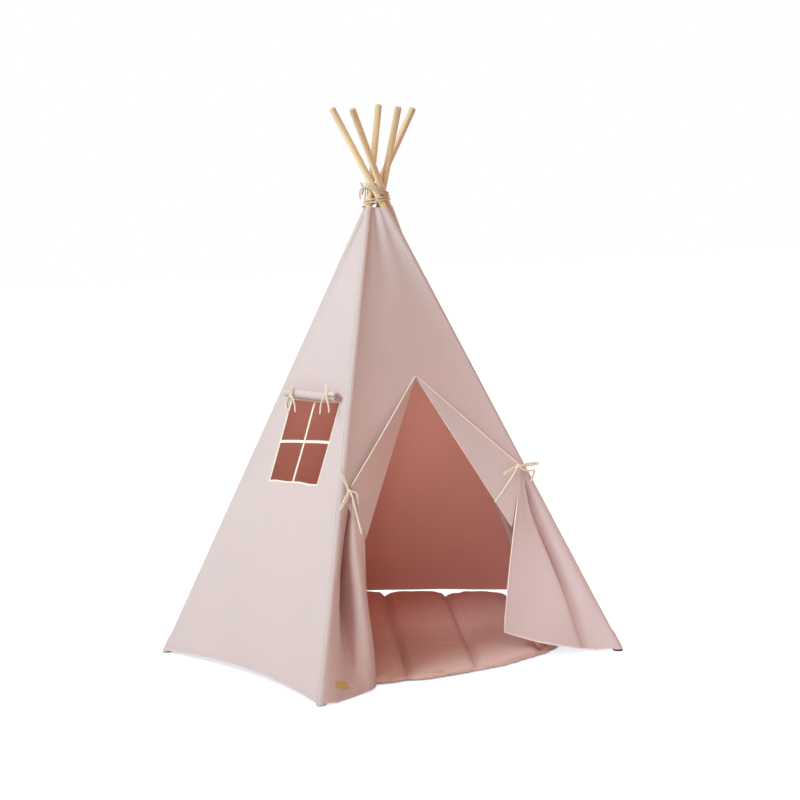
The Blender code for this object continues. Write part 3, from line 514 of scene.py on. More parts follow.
def tubePiece(name, path, radius, look, cyclic=False):
    # cord or piping swept along a path, with rounded ends
    path = [np.asarray(p, float) for p in path]
    sizes = [1.0] * len(path)
    if not cyclic:
        first, final = unit(path[0] - path[1]), unit(path[-1] - path[-2])
        path = ([path[0] + first * radius * k for k, _ in cordEnd] + path
                + [path[-1] + final * radius * k for k, _ in cordEnd[::-1]])
        sizes = [size for _, size in cordEnd] + sizes + [size for _, size in cordEnd[::-1]]
    count = len(path)
    tangents = []
    for i in range(count):
        before = path[(i - 1) % count] if cyclic or i else path[i]
        after = path[(i + 1) % count] if cyclic or i < count - 1 else path[i]
        tangents.append(unit(after - before))
    side = unit(np.cross(tangents[0], (0.31, 0.17, 0.93)))
    spots, uvs, faces = [], [], []
    distance = 0.0
    for i in range(count):
        side = unit(side - tangents[i] * float(side @ tangents[i]))
        other = np.cross(tangents[i], side)
        distance += norm(path[i] - path[i - 1]) if i else 0.0
        for k in range(cordSides):
            turn = 2 * math.pi * k / cordSides
            r = radius * sizes[i]
            spots.append(path[i] + side * math.cos(turn) * r + other * math.sin(turn) * r)
            uvs.append((distance, k / cordSides))
    for i in range(count if cyclic else count - 1):
        low, high = i * cordSides, (i + 1) % count * cordSides
        for k in range(cordSides):
            m = (k + 1) % cordSides
            faces.append((low + k, low + m, high + m, high + k))
    if not cyclic:
        faces.append(tuple(range(cordSides))[::-1])
        faces.append(tuple(range((count - 1) * cordSides, count * cordSides)))
    mesh = bpy.data.meshes.new(name)
    mesh.from_pydata([tuple(p) for p in spots], [], faces)
    shadeSmooth(mesh)
    layer = mesh.uv_layers.new(name="cloth")
    for face in mesh.polygons:
        for at in face.loop_indices:
            a, b = uvs[mesh.loops[at].vertex_index]
            if b == 0 and any(uvs[w][1] > 0.7 for w in face.vertices):
                b = 1.0
            layer.data[at].uv = (a, b)
    mesh.update()
    return link(name, mesh, [look])


def joined(name, pieces):
    with bpy.context.temp_override(active_object=pieces[0], selected_editable_objects=pieces,
                                   selected_objects=pieces):
        bpy.ops.object.join()
    pieces[0].name = name
    return pieces[0]


def foldWay(pole, wall):
    # direction in a wall's plane, square to its pole
    along = frames[wall][1]
    return unit(along - pole.axis * float(along @ pole.axis))


def hang(piece, body, nodes, gather=None, bend=None):
    if bend:
        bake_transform(piece)
    else:
        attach(piece, body)
    if nodes:
        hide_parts(*nodes)
    if gather is not None and not bend:
        pole, wall = gather[:2]
        way = foldWay(pole, wall)
        anchor = pole.at(0.7)
        if len(gather) > 2:
            middle = np.mean([vertex.co[:] for vertex in piece.data.vertices], axis=0)
            anchor = anchor + way * math.copysign(gather[2], float((middle - anchor) @ way))
        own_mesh(piece)
    return piece


def declareSheet(points, holes=None):
    # flat size from the cloth's own width and length
    a, b, c, d = points[:-1, :-1], points[:-1, 1:], points[1:, 1:], points[1:, :-1]
    cells = sum(np.linalg.norm(np.cross(u, v), axis=2) for u, v in ((b - a, d - a), (b - c, d - c))) / 2
    if holes is not None:
        cells = np.where(holes, 0, cells)
    area = float(cells.sum())
    width = float(np.linalg.norm(np.diff(points, axis=1), axis=2).sum(axis=1).max())
    length = float(np.linalg.norm(np.diff(points, axis=0), axis=2).sum(axis=0).max())
    if area < 0.31 * width * length:
        width = area / (0.32 * length)
    area = min(area, width * length)


# bows and free cords, in shares of the foot radius; knots and loops lie at one height off the wall
bowTables = {
    "door_right": {
        "wall": 0, "pole": 1, "off": 0.0386, "knot": (0.3665, 0.8213),
        "loops": (((0.3385, 0.8264), (0.3022, 0.8065), (0.3000, 0.7873), (0.3324, 0.8011)),
                  ((0.4157, 0.8422), (0.4603, 0.8332), (0.4608, 0.8135), (0.4137, 0.8141))),
        "tails": (((0.3482, 0.8059, 0.0500), (0.3224, 0.7766, 0.0480), (0.2725, 0.7266, 0.0420),
                   (0.2274, 0.6851, 0.0370)),
                  ((0.3843, 0.8042, 0.0500), (0.4143, 0.7967, 0.0480), (0.4388, 0.7962, 0.0420),
                   (0.4282, 0.7734, 0.0370), (0.4143, 0.7536, 0.0370)))},
    "door_left": {
        "wall": 0, "pole": 0, "off": 0.0386, "knot": (-0.4111, 0.7989),
        "loops": (((-0.4238, 0.8331), (-0.4383, 0.8839), (-0.4242, 0.8886), (-0.4106, 0.8439)),
                  ((-0.4198, 0.7671), (-0.4528, 0.7343), (-0.4647, 0.7398), (-0.4395, 0.7776))),
        "tails": (((-0.4071, 0.7759, 0.0500), (-0.4031, 0.7288, 0.0470), (-0.3969, 0.6713, 0.0410),
                   (-0.3925, 0.6264, 0.0370)),
                  ((-0.3887, 0.7902, 0.0500), (-0.3839, 0.7712, 0.0470), (-0.3839, 0.7469, 0.0410)))},
    "window_left": {
        "wall": 4, "pole": 4, "off": 0.0536, "knot": (-0.1179, 1.1780),
        "loops": (((-0.1539, 1.2003), (-0.1381, 1.2213), (-0.1037, 1.2098)),
                  ((-0.1371, 1.1568), (-0.1208, 1.1268), (-0.1078, 1.1409))),
        "tails": (((-0.1280, 1.1560, 0.0650), (-0.1180, 1.1300, 0.0620), (-0.0980, 1.1060, 0.0560)),
                  ((-0.0836, 1.1668, 0.0650), (-0.0602, 1.1396, 0.0620), (-0.0518, 1.1138, 0.0560)))},
    "window_right": {
        "wall": 4, "pole": 0, "off": 0.0536, "knot": (0.1350, 1.2039),
        "loops": (((0.1030, 1.2215), (0.1099, 1.2414), (0.1394, 1.2322)),
                  ((0.1583, 1.2203), (0.1847, 1.2068), (0.1705, 1.1931))),
        "tails": (((0.1324, 1.1822, 0.0650), (0.1262, 1.1516, 0.0620), (0.1286, 1.1174, 0.0560)),
                  ((0.1590, 1.1838, 0.0650), (0.1777, 1.1571, 0.0620), (0.1884, 1.1287, 0.0560)))},
    "lashing": {
        "wall": None, "pole": None, "off": 0.0, "knot": (-0.0550, 0.009),
        "loops": (((-0.0690, 0.023), (-0.0640, 0.031), (-0.0600, 0.021)),
                  ((-0.0680, -0.010), (-0.0620, -0.019), (-0.0580, -0.006))),
        "tails": (((-0.0680, 0.002, 0.012), (-0.0740, -0.012, 0.010), (-0.0730, -0.036, 0.006)),
                  ((-0.0500, -0.002, 0.014), (-0.0520, -0.030, 0.012), (-0.0560, -0.058, 0.006)))},
}
cordRadius = {None: 0.0022, 0: 0.0030, 4: 0.0026}
flapBodies = {"door_left": "flap_left_body", "door_right": "flap_right_body"}
bendLength, shortestTail = 0.06, 0.0305
viewTurn = math.radians(26.5)
viewRight = np.array((math.cos(viewTurn), -math.sin(viewTurn), 0.0))
viewNear = np.array((-math.sin(viewTurn), -math.cos(viewTurn), 0.0))
crossingPoint = np.array((0.0, 0.0, crossing))


def bowPoint(table, a, h, b=None):
    a, h, b = (share * footRadius for share in (a, h, table["off"] if b is None else b))
    if table["wall"] is None:
        return crossingPoint + viewRight * a + viewNear * b + np.array((0, 0, h))
    return onWall(table["wall"], a, h, b)


def pinch(knot, points, share):
    # the two sides of a loop drawn closer together
    away = unit(sum(points) / len(points) - knot)
    result = []
    for p in points:
        along = away * float((p - knot) @ away)
        result.append(knot + along + (p - knot - along) * share)
    return result


def makeBow(label, table):
    wall, thick = table["wall"], cordRadius[table["wall"]]
    if wall is None:
        body, gather, near, way, look = "lashing_body", None, viewNear, viewRight, looks["lashing"]
    else:
        body, gather = poleBodies[table["pole"]], (poles[table["pole"]], wall)
        near, way, look = frames[wall][3], frames[wall][1], looks["cord"]
    rise = np.cross(near, way)
    knot = bowPoint(table, *table["knot"])
    parts = []
    for loop in table["loops"]:
        ring = smooth([knot] + pinch(knot, [bowPoint(table, *s) for s in loop], 0.32), 8, cyclic=True)
        parts.append(tubePiece("loop", ring, thick * 0.95, look, cyclic=True))
    for turn in range(3):
        slant = 0.5 + turn * 1.1
        across = way * math.cos(slant) + rise * math.sin(slant)
        turns = [2 * math.pi * k / 16 for k in range(16)]
        ring = [knot + near * math.cos(a) * thick * 1.5 + across * math.sin(a) * thick * 1.7 for a in turns]
        parts.append(tubePiece("wrap", ring, thick * 0.8, look, cyclic=True))
    flap = flapBodies.get(label)
    bend = flap and (flap, knot, knot - (0, 0, bendLength))
    hang(joined(label + "Bow", parts), body, [label + "_bow"], gather, bend)
    for number, line in enumerate(table["tails"]):
        path = smooth([knot + near * thick * 1.2] + [bowPoint(table, *s) for s in line], 10)
        total = sum(norm(b - a) for a, b in zip(path, path[1:]))
        if total < shortestTail:
            path.append(path[-1] + unit(path[-1] - path[-2]) * (shortestTail - total))
            total = sum(norm(b - a) for a, b in zip(path, path[1:]))
        piece = tubePiece("%sTail%d" % (label, number + 1), path, thick, look)
        hang(piece, body, [label + "_tails"] if number == 0 else [], gather, bend)


for label, table in bowTables.items():
    makeBow(label, table)
print("bows tied")


# walls of stretched canvas
wallRows, wallColumns = 84, 34
hemRows, hemFold, hemDepth = [0.0, 0.0045, 0.009, 0.0096], 1.7, 0.012
edgePull = math.pi / 2 * 0.92


def denser(t):
    # shares that crowd towards the edge
    return np.sin(t * edgePull) / math.sin(edgePull)


def hemHeight(wall, s):
    # the canvas reaches the floor at some poles and hangs a little clear at others
    ends = hemAt[wall] * (1 - s) / 2 + hemAt[(wall + 1) % 5] * (1 + s) / 2
    return ends + (hemMiddle - ends) * (1 - s * s)


def makeWall(wall):
    levels = hemRows + list(np.linspace(0.018, 1, wallRows))
    shares = denser(np.linspace(-1, 1, 2 * wallColumns + 1))
    points = np.empty((len(levels), len(shares), 3))
    uv = np.empty((len(levels), len(shares), 2))
    for c, s in enumerate(shares):
        low = hemHeight(wall, s)
        for r, level in enumerate(levels):
            z = low + (canvasTop - low) * level
            points[r, c] = wallPoint(wall, z, s)
            uv[r, c] = (s * span(wall, z) / 2 + wall * 1.7, z)
    normals = normalsOf(points, frames[wall][3])
    thick = np.full(points.shape[:2], clothThick)
    thick[[level * canvasTop < hemDepth for level in levels]] *= hemFold
    for number, sign, pole, body in halves(wall):
        cut = slice(0, wallColumns + 1) if sign < 0 else slice(wallColumns, None)
        piece = clothPiece("%sWallHalf%d" % (wallNames[wall], number), points[:, cut], normals[:, cut],
                           [looks["canvas"], looks["inside"]], thick[:, cut], uv=uv[:, cut])
        hang(piece, body, ["wall_%s_half_%d" % (wallNames[wall], number)], (pole, wall))
        declareSheet(points[:, cut])


for wall in (1, 2, 3):
    makeWall(wall)
print("plain walls hung")

# left wall with its window; the opening is pulled wider to the right at its top, and its sides hang unevenly
window = {"width": 0.231, "height": 0.243, "centre": 0.7025, "tape": 0.018, "bar": 0.0078,
          "inside": 0.0006, "outside": 0.0046, "tapeThick": 0.0012, "roll": 0.0138, "rollThick": 0.0034,
          "leftEdge": 0.1150, "rightEdge": 0.1215, "rightPull": 0.009, "ties": (0.135, 0.88)}
windowOut = frames[4][3]
windowLow = (window["centre"] - window["height"] / 2) * frames[4][2][2]
windowHigh = (window["centre"] + window["height"] / 2) * frames[4][2][2]
windowMid = (windowLow + windowHigh) / 2
tapeLift = clothThick / 2 + 0.0004


def paneEdge(sign, z):
    pulled = window["rightEdge"] + window["rightPull"] * clamp((z - windowLow) / (windowHigh - windowLow))
    return window["leftEdge"] if sign < 0 else pulled


def paneLevel(top, a):
    across = clamp(a / 0.118, -1.0)
    if top:
        return windowHigh + 0.0045 * max(0.0, across)
    return windowLow - 0.0075 * max(0.0, -across) + 0.0025 * max(0.0, across) + 0.001 * math.sin(a * 60)


def windowShare(a, z):
    return 2 * a / span(4, z)


def makeWindowWall():
    edge = window["width"] / 2
    zs = [("low", level) for level in hemRows + list(np.linspace(0.02, 1, 24))[:-1]]
    zs += [("window", t) for t in np.linspace(0, 1, 18)] + [("high", t) for t in np.linspace(0, 1, 42)[1:]]
    cuts = list(np.linspace(0, 1, 13)) + list(1 + denser(np.linspace(0, 1, 23)[1:]))
    cuts = [-c for c in cuts[:0:-1]] + cuts
    points = np.empty((len(zs), len(cuts), 3))
    uv = np.empty((len(zs), len(cuts), 2))

    def outwards(size, share):
        # from a share of the pane, then of the cloth beside it, to a share of the wall
        return size * share if size <= 1 else share + (1 - share) * (size - 1)

    for r, (zone, t) in enumerate(zs):
        for c, cut in enumerate(cuts):
            sign = -1 if cut < 0 else 1
            size = abs(cut)
            near = sign * min(1.0, size) * edge
            lowZ, highZ = paneLevel(False, near), paneLevel(True, near)
            if zone == "window":
                z = lowZ + (highZ - lowZ) * t
            elif zone == "high":
                z = highZ + (canvasTop - highZ) * t
            else:
                flat = windowShare(paneEdge(sign, windowLow), 0.02)
                lowest = hemHeight(4, sign * outwards(size, flat))
                z = lowest + (lowZ - lowest) * t
            s = outwards(size, windowShare(paneEdge(sign, z), min(z, windowHigh)))
            points[r, c] = wallPoint(4, z, sign * s)
            uv[r, c] = (sign * s * span(4, z) / 2 + 7, z)
    normals = normalsOf(points, windowOut)
    inZone = np.array([zone == "window" for zone, _ in zs])
    inside = np.abs(np.add(cuts[:-1], cuts[1:])) / 2 < 1
    holes = (inZone[:-1] & inZone[1:])[:, None] & inside[None]
    thick = np.full(points.shape[:2], clothThick)
    thick[:3] = clothThick * hemFold
    middle = len(cuts) // 2
    for number, sign, pole, body in halves(4):
        cut = slice(0, middle + 1) if sign < 0 else slice(middle, None)
        hole = holes[:, :middle] if sign < 0 else holes[:, middle:]
        piece = clothPiece("leftWallHalf%d" % number, points[:, cut], normals[:, cut],
                           [looks["canvas"], looks["inside"]], thick[:, cut], holes=hole, uv=uv[:, cut])
        hang(piece, body, ["wall_left_half_%d" % number], (pole, 4))
        declareSheet(points[:, cut], hole)


def tapeStrip(first, second, name, lift, steps=16):
    # strip of tape on the window wall between two lines of (a, z)
    points = np.empty((steps + 1, 4, 3))
    for k in range(steps + 1):
        left, right = first(k / steps), second(k / steps)
        for c in range(4):
            m = c / 3
            a, z = left[0] + (right[0] - left[0]) * m, left[1] + (right[1] - left[1]) * m
            points[k, c] = wallPoint(4, z, windowShare(a, z), lift + 0.0004 * math.sin(m * math.pi))
    return clothPiece(name, points, normalsOf(points, windowOut), [looks["trim"]], window["tapeThick"])


def makeTape():
    inside, outside, bar = window["inside"], window["outside"], window["bar"] / 2
    for number, sign, pole, body in halves(4):
        corner = sign * (window["width"] / 2)
        under, over = paneLevel(False, corner), paneLevel(True, corner)

        def side(z, off):
            return sign * (paneEdge(sign, z) + off)

        def upright(off):
            def line(t):
                z = under - outside + (over - under + 2 * outside) * t
                return side(z, off), z
            return line

        def level(top, off):
            def line(t):
                z = paneLevel(top, corner * t)
                return side(z, outside) * t, z + off
            return line

        def crossBar(off):
            def line(t):
                z = windowMid + (0.0065 if sign > 0 else -0.0095) * t + 0.001 * math.sin(math.pi * t)
                return side(z, outside * 0.5) * t, z + off
            return line

        def middle(off):
            return lambda t: (sign * off + 0.0015 * math.sin(t * 5), windowLow + (windowHigh - windowLow) * t)

        strips = ((upright(-inside), upright(outside), 0),
                  (level(False, -outside), level(False, inside), 0.0003),
                  (level(True, -inside), level(True, outside), 0.0003),
                  (middle(0), middle(bar), 0.0008),
                  (crossBar(-bar), crossBar(bar), 0))
        made = [tapeStrip(one, two, "strip%d" % k, tapeLift + up) for k, (one, two, up) in enumerate(strips)]
        piece = joined("windowTapeHalf%d" % number, made)
        hang(piece, body, ["window_tape_half_%d" % number], (pole, 4))


def rollSection(centre, axisOne, axisTwo, size, turns=2.6, steps=84):
    # spiral of the rolled cover, seen along the roll
    ring = []
    for k in range(steps + 1):
        t = k / steps
        turn = 2 * math.pi * turns * (t - 1) + math.pi * 0.5
        r = size * (0.16 + 0.84 * t)
        ring.append(centre + axisOne * math.cos(turn) * r + axisTwo * math.sin(turn) * r)
    return ring


def makeRoll():
    lift = clothThick / 2 + window["roll"] + 0.001
    z = windowHigh + window["tape"] / 2 + 0.006
    reach = window["width"] / 2 + window["tape"]
    first, second = (wallPoint(4, z, windowShare(a, z), lift, True) for a in (-reach, reach))
    axis = unit(second - first)
    one = unit(np.cross(axis, windowOut))
    two = np.cross(axis, one)
    for number, sign, pole, body in halves(4):
        rows = []
        for k in range(31):
            share = (k / 30 + (number - 1)) / 2
            squeeze = 1 - sum(0.24 * math.exp(-((share - t) / 0.03) ** 2) for t in window["ties"])
            wobble = 1 + 0.06 * bumpy(share * 9, 2.2, 0)
            sink = -(1 - squeeze) * 0.2 * window["roll"]
            centre = first + axis * (norm(second - first) * share) + windowOut * sink
            rows.append(rollSection(centre, one, two, window["roll"] * squeeze * wobble))
        points = np.asarray(rows)
        normals = normalsOf(points)
        probe = points[15, -1] - (first + axis * float((points[15, -1] - first) @ axis))
        if float(normals[15, -1] @ probe) < 0:
            normals = -normals
        piece = clothPiece("windowRollHalf%d" % number, points, normals, [looks["canvas"]], window["rollThick"])
        hang(piece, body, ["window_roll_half_%d" % number], (pole, 4))
        declareSheet(points)


makeWindowWall()
makeTape()
makeRoll()
print("window wall hung")


# sleeves round the poles
def makeSleeve(index, steps=110, sides=28):
    pole, name = poles[index], poleNames[index]
    low = hemAt[index]
    points = np.empty((steps + 1, sides, 3))
    normals = np.empty((steps + 1, sides, 3))
    for r in range(steps + 1):
        z = low + (canvasTop - low) * r / steps
        for c in range(sides):
            turn = 2 * math.pi * c / sides
            way = pole.side * math.cos(turn) + pole.across * math.sin(turn)
            uneven = 0.0003 * bumpy(math.cos(turn) * 1.5, z * 26, index * 5.0 + math.sin(turn))
            point = pole.at(z) + way * (sleeveRadius(z) - 0.0006 + uneven)
            points[r, c] = point - pole.axis * float((point - pole.at(z))[2] / pole.axis[2])
            normals[r, c] = way
    piece = clothPiece("sleeve" + name.title().replace("_", ""), points, normals, [looks["canvas"]], 0.0011,
                       wrap=True)
    hang(piece, poleBodies[index], ["sleeve_" + name])
    declareSheet(np.concatenate((points, points[:, :1]), axis=1))


for index in range(5):
    makeSleeve(index)
print("sleeves made")

# front wall, its door and the flaps; side is -1 on the left and 1 on the right
door = {"stand": {1: 0.004, -1: 0.014}, "apex": 0.8801, "tie": 0.572, "tieAlong": 0.3921 * 0.7, "piping": 0.0022,
        "folds": {1: (0.3014 * 0.7, 0.5786 * 0.7), -1: (0.3686 * 0.7, 0.6057 * 0.7)}, "bulge": 0.0016}
frontOut = frames[0][3]
frontRise = frames[0][2][2]
apexZ, tieZ = door["apex"] * frontRise, door["tie"] * frontRise


def flank(side):
    index = 0 if side < 0 else 1
    return "left" if side < 0 else "right", poles[index], poleBodies[index]


def flapLook(side):
    # the left side takes the copy of the canvas with painted fold shade
    return looks["canvas" if side > 0 else "leftFlap"]


def frontSurface(x, z, lift=0.0, plain=False):
    start, end = chord(0, z)
    s = 2 * (x - start[0]) / (end[0] - start[0]) - 1
    return wallPoint(0, z, clamp(s, -1.0), lift, plain)


def splitX(z):
    start, end = chord(0, canvasTop)
    return float((start + end)[0]) / 2 * max(0.0, (z - apexZ) / (canvasTop - apexZ))


def makeFront(side, lower=36, upper=34, columns=26):
    foldX, foldZ = door["folds"][side][0], door["folds"][side][1] * frontRise
    label, pole, body = flank(side)
    rows, uv = [], []
    for step in range(lower + upper + 1):
        if step < lower:
            t = step / lower
            innerX, innerZ = side * foldX * (1 - t), foldZ + (apexZ - foldZ) * t
            outerZ = tieZ - 0.02 + (apexZ - tieZ + 0.02) * t
        else:
            innerZ = outerZ = apexZ + (canvasTop - apexZ) * (step - lower) / upper
            innerX = splitX(innerZ)
        outerX = pole.at(outerZ)[0]
        line = []
        for c in range(columns + 1):
            share = 1 - float(denser(1 - c / columns))
            line.append((outerX + (innerX - outerX) * share, outerZ + (innerZ - outerZ) * share))
        uv.append(line if side < 0 else line[::-1])
        rows.append([frontSurface(x, z) for x, z in uv[-1]])
    points = np.asarray(rows)
    number = 1 if side < 0 else 2
    piece = clothPiece("frontWallHalf%d" % number, points, normalsOf(points, frontOut),
                       [looks["canvas"], looks["inside"]], uv=np.asarray(uv))
    hang(piece, body, ["wall_front_half_%d" % number], (pole, 0))
    declareSheet(points)


def makeFacing(side, count=44, columns=14, turns=6):
    # door cloth folded outwards above the tie, with its piping
    foldX, foldZ = door["folds"][side][0], door["folds"][side][1] * frontRise
    label, pole, body = flank(side)
    bulge = door["bulge"]
    rows = []
    for step in range(count + 1):
        t = 0.004 + 0.992 * step / count
        fold = np.array((side * foldX * t, apexZ + (foldZ - apexZ) * t))
        free = np.array((side * door["tieAlong"] * t, apexZ + (tieZ - apexZ) * t))
        away = unit(fold - free) if step else np.array((-side, 0.0))
        row = []
        for k in range(turns):
            a = math.pi * k / turns
            x, z = fold + away * bulge * math.sin(a)
            row.append(frontSurface(x, z, bulge * (1 - math.cos(a)), True))
        for c in range(columns + 1):
            share = c / columns
            x, z = fold + (free - fold) * share
            puff = 0.0022 * math.sin(share * math.pi) * (0.5 + 0.5 * t)
            stand = door["stand"][side] * math.sin(math.pi * min(1.0, t ** 1.4)) * share ** 1.6
            lie = 2 * bulge + puff + 0.002 * share + 0.004 * share * t ** 4 + stand
            lie += 0.0008 * bumpy(share * 2.5, t * 5, side * 3.0)
            row.append(frontSurface(x, z, lie, True))
        rows.append(row)
    points = np.asarray(rows)
    edge = pipingLine(points, door["piping"] * 0.8)
    normals = normalsOf(points, frontOut)
    if float((normals[:, -3:].reshape(-1, 3) @ frontOut).sum()) < 0:
        normals = -normals
    gather = (pole, 0, foldClear)
    piece = clothPiece("doorFacing" + label.title(), points, normals, [flapLook(side)])
    hang(piece, body, ["door_facing_" + label], gather)
    piping = tubePiece("doorPiping" + label.title(), edge, door["piping"], looks["trim"])
    hang(piping, body, ["door_piping_" + label], gather)
    declareSheet(points)
    sew("doorFacingStitches" + label.title(), [besideEdge(points, normals, stitches["fromEdge"])],
        looks["thread"], body, gather)


def pipingLine(points, distance, row=False):
    # line just off a cloth's last column, or its last row
    grid = points.transpose(1, 0, 2) if row else points
    result = []
    for r in range(len(grid)):
        before, after = grid[max(r - 1, 0), -1], grid[min(r + 1, len(grid) - 1), -1]
        tangent = unit(after - before)
        away = grid[r, -1] - grid[r, -2]
        result.append(grid[r, -1] + unit(away - tangent * float(away @ tangent)) * distance)
    return result


def levelRow(height, *pairs):
    return [(a, height, b) for a, b in pairs]


# sections of the hanging flaps from the tie down to the hem, in shares of the foot radius
tiedRow = levelRow(0.7829, (0.4014, 0.0186), (0.3986, 0.0143), (0.3929, 0.0186), (0.3864, 0.0186), (0.3800, 0.0186))
rightFlap = (
    tiedRow,
    levelRow(0.7150, (0.4230, 0.0150), (0.4060, -0.0140), (0.3960, 0.0120), (0.3800, 0.0165), (0.3590, 0.0160)),
    levelRow(0.6000, (0.4543, 0.0100), (0.4190, -0.0280), (0.4040, 0.0086), (0.3686, 0.0129), (0.3179, 0.0129)),
    levelRow(0.4143, (0.5114, 0.0120), (0.4650, -0.0430), (0.4480, 0.0000), (0.3857, -0.0143), (0.2794, -0.0443)),
    levelRow(0.2429, (0.5686, 0.0100), (0.5080, -0.0380), (0.4800, -0.0086), (0.3714, -0.0500), (0.2500, -0.1000)),
    ((0.6040, 0.0214, -0.0289), (0.5500, 0.0374, -0.0460), (0.5050, 0.0447, -0.0360),
     (0.3661, 0.0923, -0.0638), (0.2383, 0.1626, -0.1257)))
leftFlap = (
    tiedRow,
    levelRow(0.7150, (0.4230, 0.0040), (0.4150, -0.0330), (0.4060, 0.0080), (0.3930, 0.0180), (0.3785, 0.0160)),
    levelRow(0.6143, (0.4543, -0.0114), (0.4420, -0.0850), (0.4286, 0.0029), (0.4014, 0.0157), (0.3754, 0.0129)),
    levelRow(0.5000, (0.4929, -0.0086), (0.4660, -0.1250), (0.4443, -0.0040), (0.4114, 0.0160), (0.3800, -0.0220)),
    levelRow(0.3857, (0.5257, 0.0029), (0.4820, -0.1180), (0.4500, -0.0060), (0.4214, 0.0100), (0.3916, -0.0340)),
    levelRow(0.1857, (0.5714, 0.0057), (0.5114, -0.0560), (0.4729, -0.0120), (0.4357, 0.0000), (0.3986, -0.0500)),
    ((0.6300, 0.0000, 0.0245), (0.5500, 0.0095, -0.0009), (0.4971, 0.0174, -0.0223),
     (0.4486, 0.0259, -0.0300), (0.4057, 0.0374, -0.0800)))


def makeFlap(side, table, lead=5):
    label, pole, _ = flank(side)
    body = "flap_%s_body" % label
    hem = hemAt[0 if side < 0 else 1]
    rows = refine([[onWall(0, side * a * footRadius, h * footRadius, b * footRadius) for a, h, b in level]
                   for level in table], 9, 6)
    for r, row in enumerate(rows):
        for point in row:
            point[2] = max(point[2], hem)
        z = hem if r == len(rows) - 1 else row[0][2]
        spot = pole.at(z) + frontOut * (sleeveRadius(z) - 0.0004)
        shares = [k / lead for k in range(lead)]
        rows[r] = [spot * (1 - t) + row[0] * t + frontOut * 0.0035 * math.sin(math.pi * t) * (1 - t)
                   for t in shares] + row
    points = np.asarray(rows)
    count, columns = points.shape[:2]
    normals = normalsOf(points, frontOut)
    for r in range(count):
        drop = max(0.0, float(points[0, 0, 2] - points[r, -1, 2]))
        fade = math.exp(-drop / 0.11)
        for c in range(columns):
            u = c / (columns - 1)
            inside = math.sin(math.pi * clamp((u - 0.12) / 0.88))
            pleat = math.sin(u * 21 + side) * 0.0012 * fade * inside
            soft = bumpy(u * 3.2, drop * 2.6, 4.0 + side) * 0.004 * inside * (1 - fade)
            points[r, c] += normals[r, c] * (pleat + soft)
            points[r, c, 2] = max(points[r, c, 2], hem - 0.0005)
    normals = normalsOf(points, frontOut)
    gather = (pole, 0, foldClear)
    piece = clothPiece("doorFlap" + label.title(), points, normals, [flapLook(side), looks["inside"]])
    hang(piece, body, ["door_flap_" + label], gather)
    size = door["piping"] * (1.0 if side > 0 else 0.55)
    down = pipingLine(points, size * 0.8)
    lower = pipingLine(points, size * 0.5, row=True)
    for spot in lower:
        spot[2] = max(spot[2], size + 0.0015)
    path = down[:-1] + [(down[-1] + lower[-1]) / 2] + lower[-2:4:-1]
    # the left piping takes the left flap's pink with its painted shade
    piping = tubePiece("flapPiping" + label.title(), path, size, looks["trim" if side > 0 else "leftFlap"])
    hang(piping, body, ["flap_piping_" + label], gather)
    declareSheet(points)
    hemLine = besideEdge(points, normals, stitches["fromEdge"] * 2, True)
    sew("doorFlapStitches" + label.title(), [besideEdge(points, normals, stitches["fromEdge"]), hemLine[6:]],
        looks["thread"], body, gather)
    return points, body, gather


# sewn stitches, laid along the seams
def stitchTree():
    tree = bpy.data.node_groups.new("sewnStitches", "GeometryNodeTree")
    for label, kind in (("Seams", "Geometry"), ("Spacing", "Float"), ("Length", "Float"), ("Width", "Float"),
                        ("Thread", "Material")):
        tree.interface.new_socket(name=label, in_out="INPUT", socket_type="NodeSocket" + kind)
    tree.interface.new_socket(name="Stitches", in_out="OUTPUT", socket_type="NodeSocketGeometry")
    given = tree.nodes.new("NodeGroupInput").outputs
    curve = node(tree, "GeometryNodeMeshToCurve", {"Mesh": given["Seams"]})
    even = node(tree, "GeometryNodeResampleCurve", {"Curve": curve.outputs[0], "Length": given["Spacing"]},
                mode="LENGTH")
    bead = node(tree, "GeometryNodeMeshUVSphere", {"Segments": 6, "Rings": 4, "Radius": 0.5})
    along = tree.nodes.new("GeometryNodeInputTangent")
    turn = node(tree, "FunctionNodeAlignRotationToVector", {"Vector": along.outputs[0]}, axis="X")
    size = node(tree, "ShaderNodeCombineXYZ", {0: given["Length"], 1: given["Width"], 2: given["Width"]})
    put = node(tree, "GeometryNodeInstanceOnPoints",
               {"Points": even.outputs[0], "Instance": bead.outputs[0], "Rotation": turn.outputs[0],
                "Scale": size.outputs[0]})
    real = node(tree, "GeometryNodeRealizeInstances", {0: put.outputs[0]})
    paint = node(tree, "GeometryNodeSetMaterial", {"Geometry": real.outputs[0], "Material": given["Thread"]})
    node(tree, "NodeGroupOutput", {0: paint.outputs[0]})
    return tree


stitches = {"tree": stitchTree(), "spacing": 0.0042, "long": 0.0029, "wide": 0.0009, "fromHem": 0.0115,
            "fromPole": 0.0060, "fromEdge": 0.0050, "off": 0.0001}


def sew(name, lines, look, body, gather=None, spacing=stitches["spacing"]):
    # stitches along some lines as one mesh on one body
    spots, edges = [], []
    for line in lines:
        edges += [(len(spots) + k, len(spots) + k + 1) for k in range(len(line) - 1)]
        spots += [tuple(spot) for spot in line]
    data = bpy.data.meshes.new(name)
    data.from_pydata(spots, edges, [])
    piece = link(name, data, [look])
    made = piece.modifiers.new("sewn", "NODES")
    made.node_group = stitches["tree"]
    values = {"Spacing": spacing, "Length": stitches["long"], "Width": stitches["wide"], "Thread": look}
    for socket in stitches["tree"].interface.items_tree:
        if socket.in_out == "INPUT" and socket.name in values:
            made[socket.identifier] = values[socket.name]
    shadeSmooth(baked(piece))
    hang(piece, body, [], gather)


